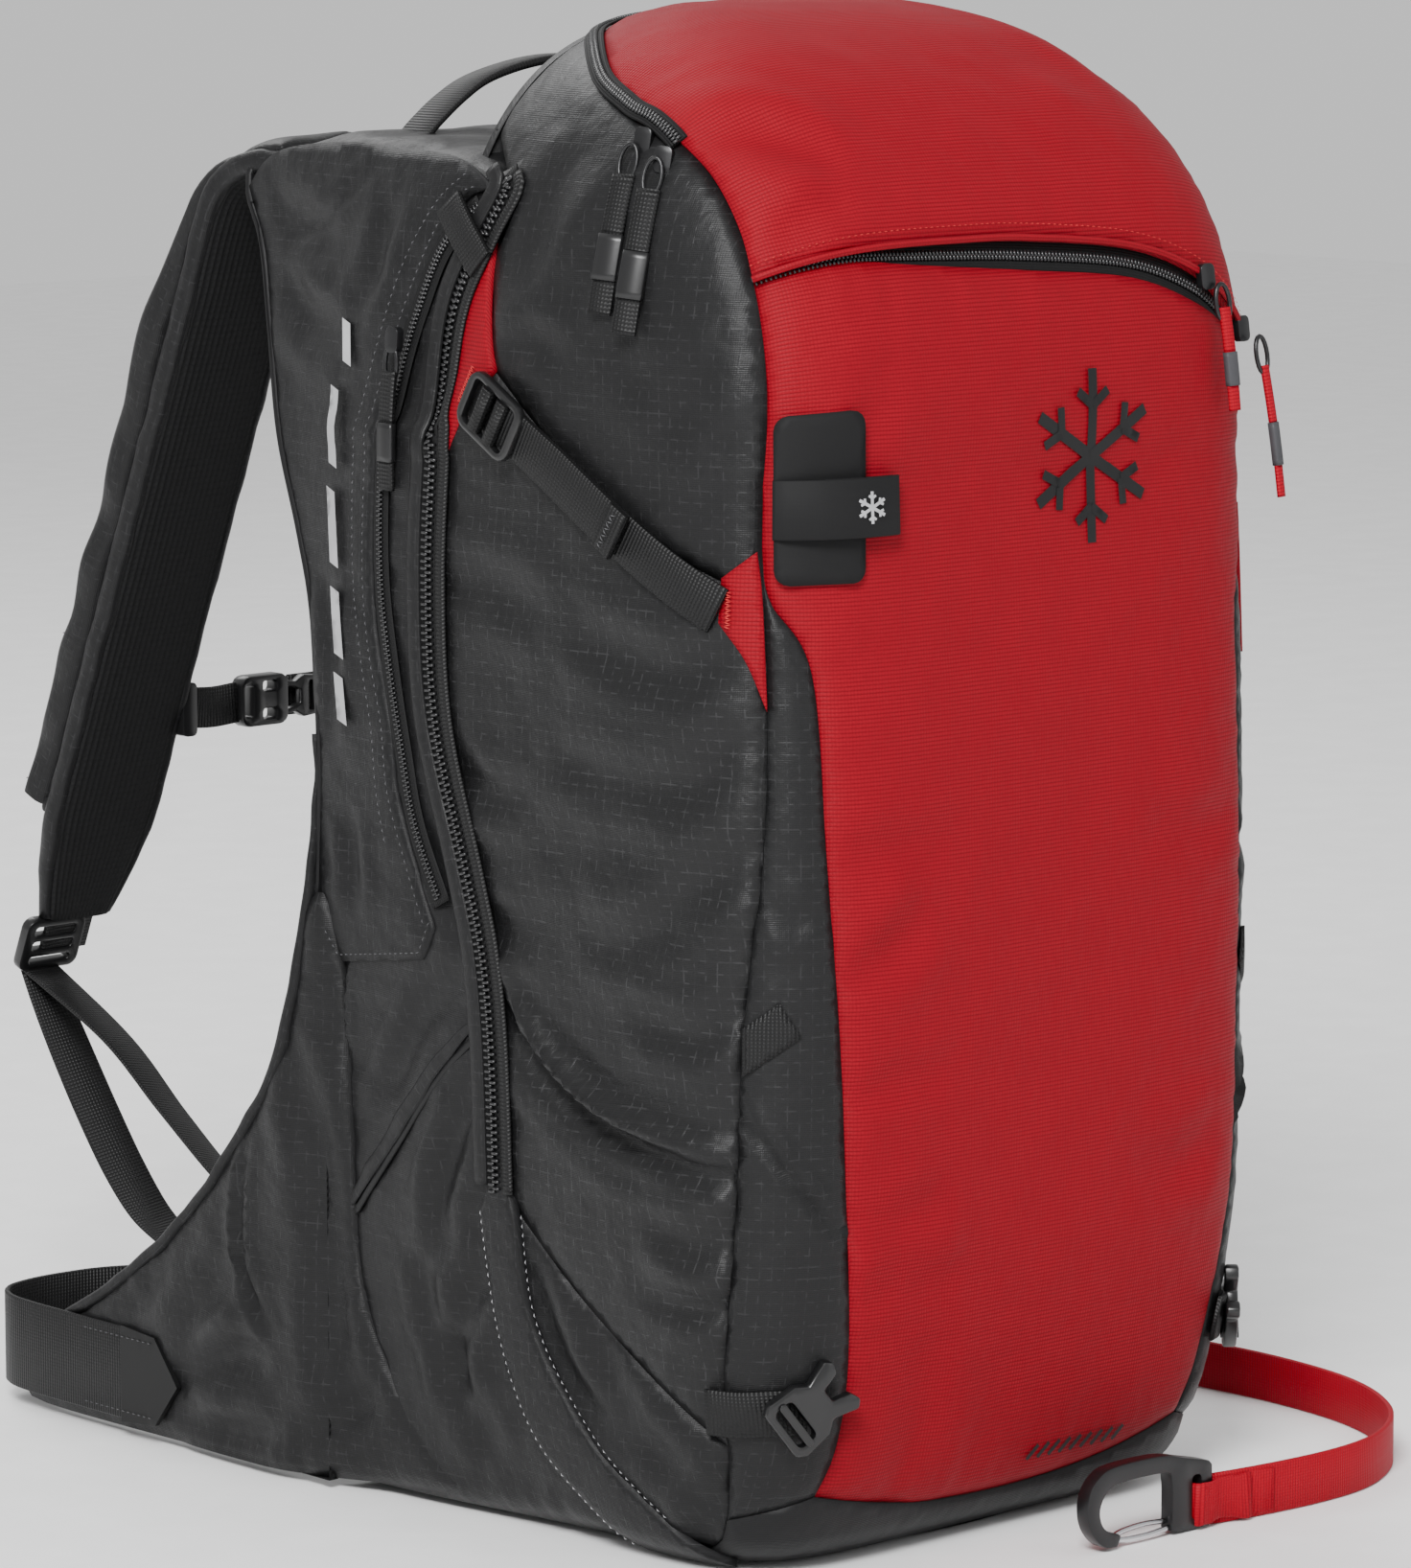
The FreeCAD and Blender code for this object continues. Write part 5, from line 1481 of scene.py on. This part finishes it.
# ---------------------------------------------------------------- straps and hardware on the bag
def make_compression_straps():
    """Straps down across the sides with their ladder buckles and a doubled, sewn end."""
    for side in (LEFT, RIGHT):
        name = SIDE_NAMES[side]
        lay(f"compression_webbing_{name}",
            surface_line(SIDE, [(22, 484), (-24, 457), (-73, 427), (-112, 405)], 3.0, 3.0, side),
            strap_profile(20, 2.2), "web", stands_for=(f"compression_strap_{name}",))
        lay(f"compression_tail_{name}",
            surface_line(SIDE, [(6, 476), (-24, 458), (-50, 442), (-66, 432)], 5.4, 3.0, side),
            strap_profile(20, 2.4), "web")
        lay(f"compression_tail_end_{name}", surface_line(SIDE, [(-58, 437), (-67, 431.5)], 7.2, 3.0, side),
            strap_profile(20.6, 2.6), "web")
        pair, out = surface_line(SIDE, [(-66, 441.5), (-57.5, 427.5)], 8.8, 2.0, side)
        zigzag(pair[0], pair[-1], out[0], 4.0, 3.2, kind="thread")
        here, normal = SIDE(np.array([8.0]), np.array([476.0]))
        flip = np.array([-side, 1, 1])
        along = unit(np.array([0.0, -46, -27]))
        across = unit(np.cross(normal[0], along))
        centre = (here[0] + normal[0] * 6.5) * flip
        place = plate_frame(centre, along * flip, across * flip)
        holes = [rounded(7.5, 20, 2.0, (-10.0, 0)), rounded(7.5, 20, 2.0, (0.2, 0)),
                 rounded(6.0, 20, 2.0, (10.2, 0))]
        frame_plate = slab(f"compression_buckle_body_{name}", rounded(36, 27, 7), place, 4.2, holes,
                           edge=1.3)
        settle(frame_plate, "plastic", stands_for=(f"compression_buckle_{name}",))
        for index, at in enumerate((-5.0, 5.2)):
            ends = place(np.array([at, at, at]), np.array([-9.6, 0, 9.6]), np.array([1.4, 1.4, 1.4]))
            lay(f"compression_wrap_{index}_{name}", (ends, normal[0] * flip),
                pad_profile(6.4, 5.4, 2.4, 14), "web")
        for start, end in (((24, 495), (33, 480)), ((-115.5, 413), (-115.5, 398))):
            pair, out = surface_line(SIDE, [start, end], 2.2, 3.0, side)
            zigzag(pair[0], pair[-1], out[0], 4.0, 1.8, kind="red_thread")


def make_ski_straps():
    """Webbing round the lower front corners with a two prong buckle on each."""
    for side in (LEFT, RIGHT):
        name = SIDE_NAMES[side]
        path, out = bag_line(dense([(-163, 75), (-150, 75), (-138, 76), (-122, 77)], 3), 2.2)
        path, out = path * (-side, 1, 1), out * (-side, 1, 1)
        lay(f"ski_webbing_{name}", (path, out), strap_profile(20, 2.2), "web",
            stands_for=(f"ski_strap_{name}",))
        middle = -122 if side == LEFT else -140
        spot, normal = bag_line([(middle - 5, 79), (middle + 5, 79)])
        flip = np.array([-side, 1.0, 1.0])
        along = unit((spot[1] - spot[0]) * flip / 10 + np.array([0, 0, 0.75]))
        upward = unit(np.array([0, 0, 1.0]) - along * along[2])
        centre = ((spot[0] + spot[1]) / 2 + normal[0] * 6.0) * flip
        place = plate_frame(centre, along, upward)
        frame_line = [(-17, -11), (-13, -14), (0, -13), (5, -9), (16, -13), (19, -10), (17, -5), (9, -3),
                      (9, 3), (17, 5), (19, 10), (16, 13), (5, 9), (0, 13), (-13, 14), (-17, 11)]
        buckle = slab(f"ski_buckle_body_{name}", frame_line, place, 6, [rounded(9, 19, 2.5, (-9, 0))],
                      edge=1.2)
        bar = slab(f"ski_buckle_bar_{name}", rounded(3.4, 22, 1.5, (-9, 0)), place, 8, edge=1.0)
        settle(join(f"ski_buckle_{name}_body", [buckle, bar]), "plastic", f"ski_buckle_{name}",
               (f"ski_buckle_{name}",))


def bar_panel(name, start, end, width, lift):
    """Thin printed bar on the bag from start to end, in (s, cloth height)."""
    start, end = np.asarray(start, float), np.asarray(end, float)
    side = unit(np.array([end[1] - start[1], start[0] - end[0]])) * width / 2
    return decal(name, [start - side, end - side, end + side, start + side], BAG, lift)


def crystal(name, centre, size, width, lift, material):
    """Plain six armed snow crystal."""
    bars = []
    for arm in range(6):
        angle = math.radians(90 + 60 * arm)
        ray = np.array([math.cos(angle), math.sin(angle)])
        bars.append(bar_panel(f"{name}_arm{arm}", centre, centre + ray * size, width, lift + 0.02 * arm))
        for turn in (-55, 55):
            lean = np.array([math.cos(angle + math.radians(turn)), math.sin(angle + math.radians(turn))])
            root = centre + ray * size * 0.58
            bars.append(bar_panel(f"{name}_barb{arm}{turn}", root, root + lean * size * 0.3, width * 0.8,
                                  lift + 0.15 + 0.02 * arm))
    return settle(join(name, bars), material)


def make_front_details():
    """Tool patch with its elastic loop, the printed crystal and a hatched size mark."""
    patch = np.array(rounded(38, 70, 6, (-121.5, 450.5)))
    panel("tool_patch", [np.vstack([patch, patch[:1]])], BAG, "coated", spacing=4, seam=0.2, ripple=0,
          soft=0.3, lift=3.4, skirt=3.6)
    marks = [(-140, 3.6), (-134, 6.0), (-122, 8.2), (-108, 8.8), (-95, 7.6), (-88, 6.2), (-86.2, 4.8),
             (-89, 4.0), (-100, 4.2), (-120, 4.0)]
    path = []
    for s, lift in marks:
        path.append(bag_line([(s, 446.0)], lift)[0][0])
    path = dense(path, 2)
    out = np.broadcast_to(bag_line([(-112, 446.0)])[1][0], path.shape)
    lay("tool_loop", (path, out), strap_profile(24, 1.6), "coated")
    crystal("printed_crystal", np.array([27.0, 458.0]), 36.0, 5.0, 1.5, "print")
    crystal("loop_crystal", np.array([-103.0, 446.0]), 6.5, 1.3, 9.8, "reflective")
    hatch = [bar_panel(f"size_mark_{i}", (10 + i * 6.5, 33), (15 + i * 6.5, 39), 2.2, 1.3)
             for i in range(9)]
    settle(join("size_mark", hatch), "print")


def zip_pull(name, node, slider, start, end, facing, cord, sleeve, width=6.0, sag=0.0):
    """Slider body with its wire loop, woven cord, smooth sleeve and cut tail, swinging on its own body."""
    start, end, facing = np.array(start, float), np.array(end, float), unit(np.array(facing, float))
    along = unit(end - start)
    side = unit(np.cross(along, facing))
    length = float(np.linalg.norm(end - start))
    place = plate_frame(np.array(slider, float), side, np.cross(facing, side))
    head = slab(f"{name}_slider", rounded(7.5, 11, 2.6), place, 3.6, edge=0.9)
    settle(head, "anodised")
    loop = [start + along * (-1.0 + 8.0 * (1 - math.cos(t))) + side * 3.8 * math.sin(t)
            for t in np.linspace(0, 2 * math.pi, 20, endpoint=False)]
    lay(f"{name}_ring", (loop, facing), round_profile(1.0, 8), "anodised", node, slot="zip", closed=True)
    for label, first, last, wide, thick, finish, slot, stands_for in (("cord", 0.17, 0.55, 1.0, 2.6, cord,
                                                                       "webbing", (node,)),
                                                                      ("tail", 0.79, 1.0, 1.05, 2.2, cord,
                                                                       "webbing", ()),
                                                                      ("sleeve", 0.53, 0.80, 1.1, 3.6,
                                                                       sleeve, "zip", ())):
        spots = [start + along * length * f + facing * sag * math.sin(math.pi * f) for f in
                 np.linspace(first, last, 8)]
        lay(f"{name}_{label}", (spots, facing), strap_profile(width * wide, thick), finish, node,
            stands_for, slot)


def make_pulls():
    """Pulls of the main, front pocket and airbag zips."""
    zip_pull("main_pull_front", "main_pull_b", (-140, -69, 583), (-144, -68.5, 583), (-163, -70, 514),
             (-0.8, -0.45, 0.15), "web", "shrink", 10.0, 2.0)
    zip_pull("main_pull_rear", "main_pull_a", (-138, -55, 590), (-143, -53, 588), (-161.5, -54, 521),
             (-0.85, -0.35, 0.15), "web", "shrink", 10.0, 2.0)
    zip_pull("pocket_pull_near", "pocket_pull_a", (103, -141, 528), (107, -146, 524), (109, -153, 472),
             (-0.1, -1, 0.1), "red_web", "grey_sleeve", 5.5, 1.0)
    zip_pull("pocket_pull_far", "pocket_pull_b", (134, -133, 504), (138, -140, 500), (142, -150, 433),
             (0.1, -1, 0.1), "red_web", "grey_sleeve", 4.0, 1.0)
    zip_pull("airbag_pull_left", "airbag_pull", (-159, 76.5, 503), (-160, 77, 500), (-161.5, 79, 440),
             (-1, 0, 0.05), "web", "shrink", 8.5, 1.5)


def make_leg_loop():
    """Red webbing on edge on the floor from the right side to its hook."""
    route = [(161.2, 106), (203, 106), (238.5, 85.5), (259, 50), (259, 9), (263, -50), (252, -112),
             (213, -163), (150, -186), (79.5, -173)]
    line = bpy.data.curves.new("leg_loop_line", "CURVE")
    line.dimensions = "3D"
    spline = line.splines.new("NURBS")
    spline.points.add(len(route) - 1)
    for point, (x, y) in zip(spline.points, route):
        point.co = (x * MM, y * MM, 0.0112, 1)
    spline.order_u = 3
    spline.use_endpoint_u = True
    spline.resolution_u = 10
    guide = bpy.data.objects.new("leg_loop_line", line)
    mesh = bpy.data.meshes.new_from_object(guide)
    path = np.array([tuple(v.co) for v in mesh.vertices]) / MM
    bpy.data.objects.remove(guide)
    webbing = lay("leg_loop", (path, level_out(path)), strap_profile(22, 2.5), "red_web",
                  stands_for=("leg_loop_webbing",))

    rim = [(20, 1.2), (12, 2.5), (5, 9), (2, 17), (3, 26), (9, 33), (19, 36), (46, 35.8), (62, 32.5),
           (76, 29), (78, 27), (77, 3), (74, 0.8), (56, 1.2), (53.5, 3), (53.5, 9), (53, 24), (49, 28),
           (24, 28.5), (14, 26), (9.5, 19), (11, 12), (16, 8), (22, 6)]

    def upright(a, b, h):
        return np.stack([a, -172 + h, b], 1)
    hook = slab("leg_loop_hook_body", dense(rim + rim[:1], 2)[:-1], upright, 7,
                [rounded(5.5, 19, 2, (68.5, 14.5))], edge=1.4)
    settle(hook, "anodised", stands_for=("leg_loop_hook",))
    gate_line = [(53, -173.2, 3.4), (40, -173.4, 2.6), (26, -172.8, 2.9), (20.8, -172, 4.4),
                 (26, -171.2, 6.0), (40, -170.6, 6.6), (53, -170.8, 5.8)]
    gate = lay("wire_gate", (dense(gate_line, 2), (0, 0.3, 1)), round_profile(1.25, 10), "wire", "gate",
               ("hook_gate",))
    fold = dense([(112, -179.5, 11.2), (96, -175.5, 11.2), (84, -173.2, 11.2), (74, -168.2, 11.2),
                  (68.5, -167.2, 11.2), (68.5, -176.8, 11.2), (75, -176.6, 11.2), (84, -176.0, 11.2),
                  (98, -179.0, 11.2)], 2)
    sewn = lay("leg_loop_fold", (fold, level_out(fold)), strap_profile(19, 2.0), "red_web",
               bend=crumple(1.6, 7, 4.0))


# ---------------------------------------------------------------- inner parts
def make_inner_parts():
    """Divider, folded airbag and the finishes of the fan, battery, frame sheet and stays."""
    def divider(x, z):
        back = smooth_table(np.clip(z, 0, 455), LEVEL_V[:6], LEVEL_B)
        return np.stack([x, back - 1.0, z], 1)
    box = [(-128, 24), (128, 24), (140, 120), (140, 520), (118, 590), (-118, 590), (-140, 520), (-140, 120)]
    panel("divider_cover", [dense(box + box[:1], 8, False)], with_normals(divider, (0, -1, 0)), "black",
          spacing=12, seam=0.5, ripple=0.5, soft=0.8, seed=101.0, skirt=1.5, stands_for=("divider_panel",),
          slot="charcoal_fabric")
    path = dense([(-96, 90, 492), (0, 90, 494), (96, 90, 492)], 6)
    fold = [(a, b * (1 + 0.12 * math.sin(a / 2.2))) for a, b in pad_profile(40, 96, 4, 60)]
    lay("airbag_folds", (path, (0, 0, 1)), fold, "airbag", stands_for=("airbag_bundle",), fill=0.4,
        bend=crumple(3.0, 22, 5.0))
    finishes = {"frame_sheet": "sheet", "frame_stays": "stay", "fan_housing": "fan", "impeller": "fan",
                "fan_motor": "motor", "battery_pack": "shrink"}
    for node, finish in finishes.items():
        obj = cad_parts[node]
        if not obj.material_slots:
            obj.data.materials.append(MATERIALS[finish])
        for place in obj.material_slots:
            place.material = MATERIALS[finish]


MATERIALS = make_materials()
make_stage()
make_red_panels()
make_corner_strips()
make_base()
make_side_panels()
make_back_wall()
make_airbag_unit()
make_airbag_flaps()
make_expansion_zip()
make_top_zips()
make_yoke()
make_shoulder_straps()
make_trigger_pouch()
make_strap_webbing()
make_sternum_strap()
make_pads()
make_wings()
make_compression_straps()
make_ski_straps()
make_front_details()
make_pulls()
make_leg_loop()
make_inner_parts()
make_threads()
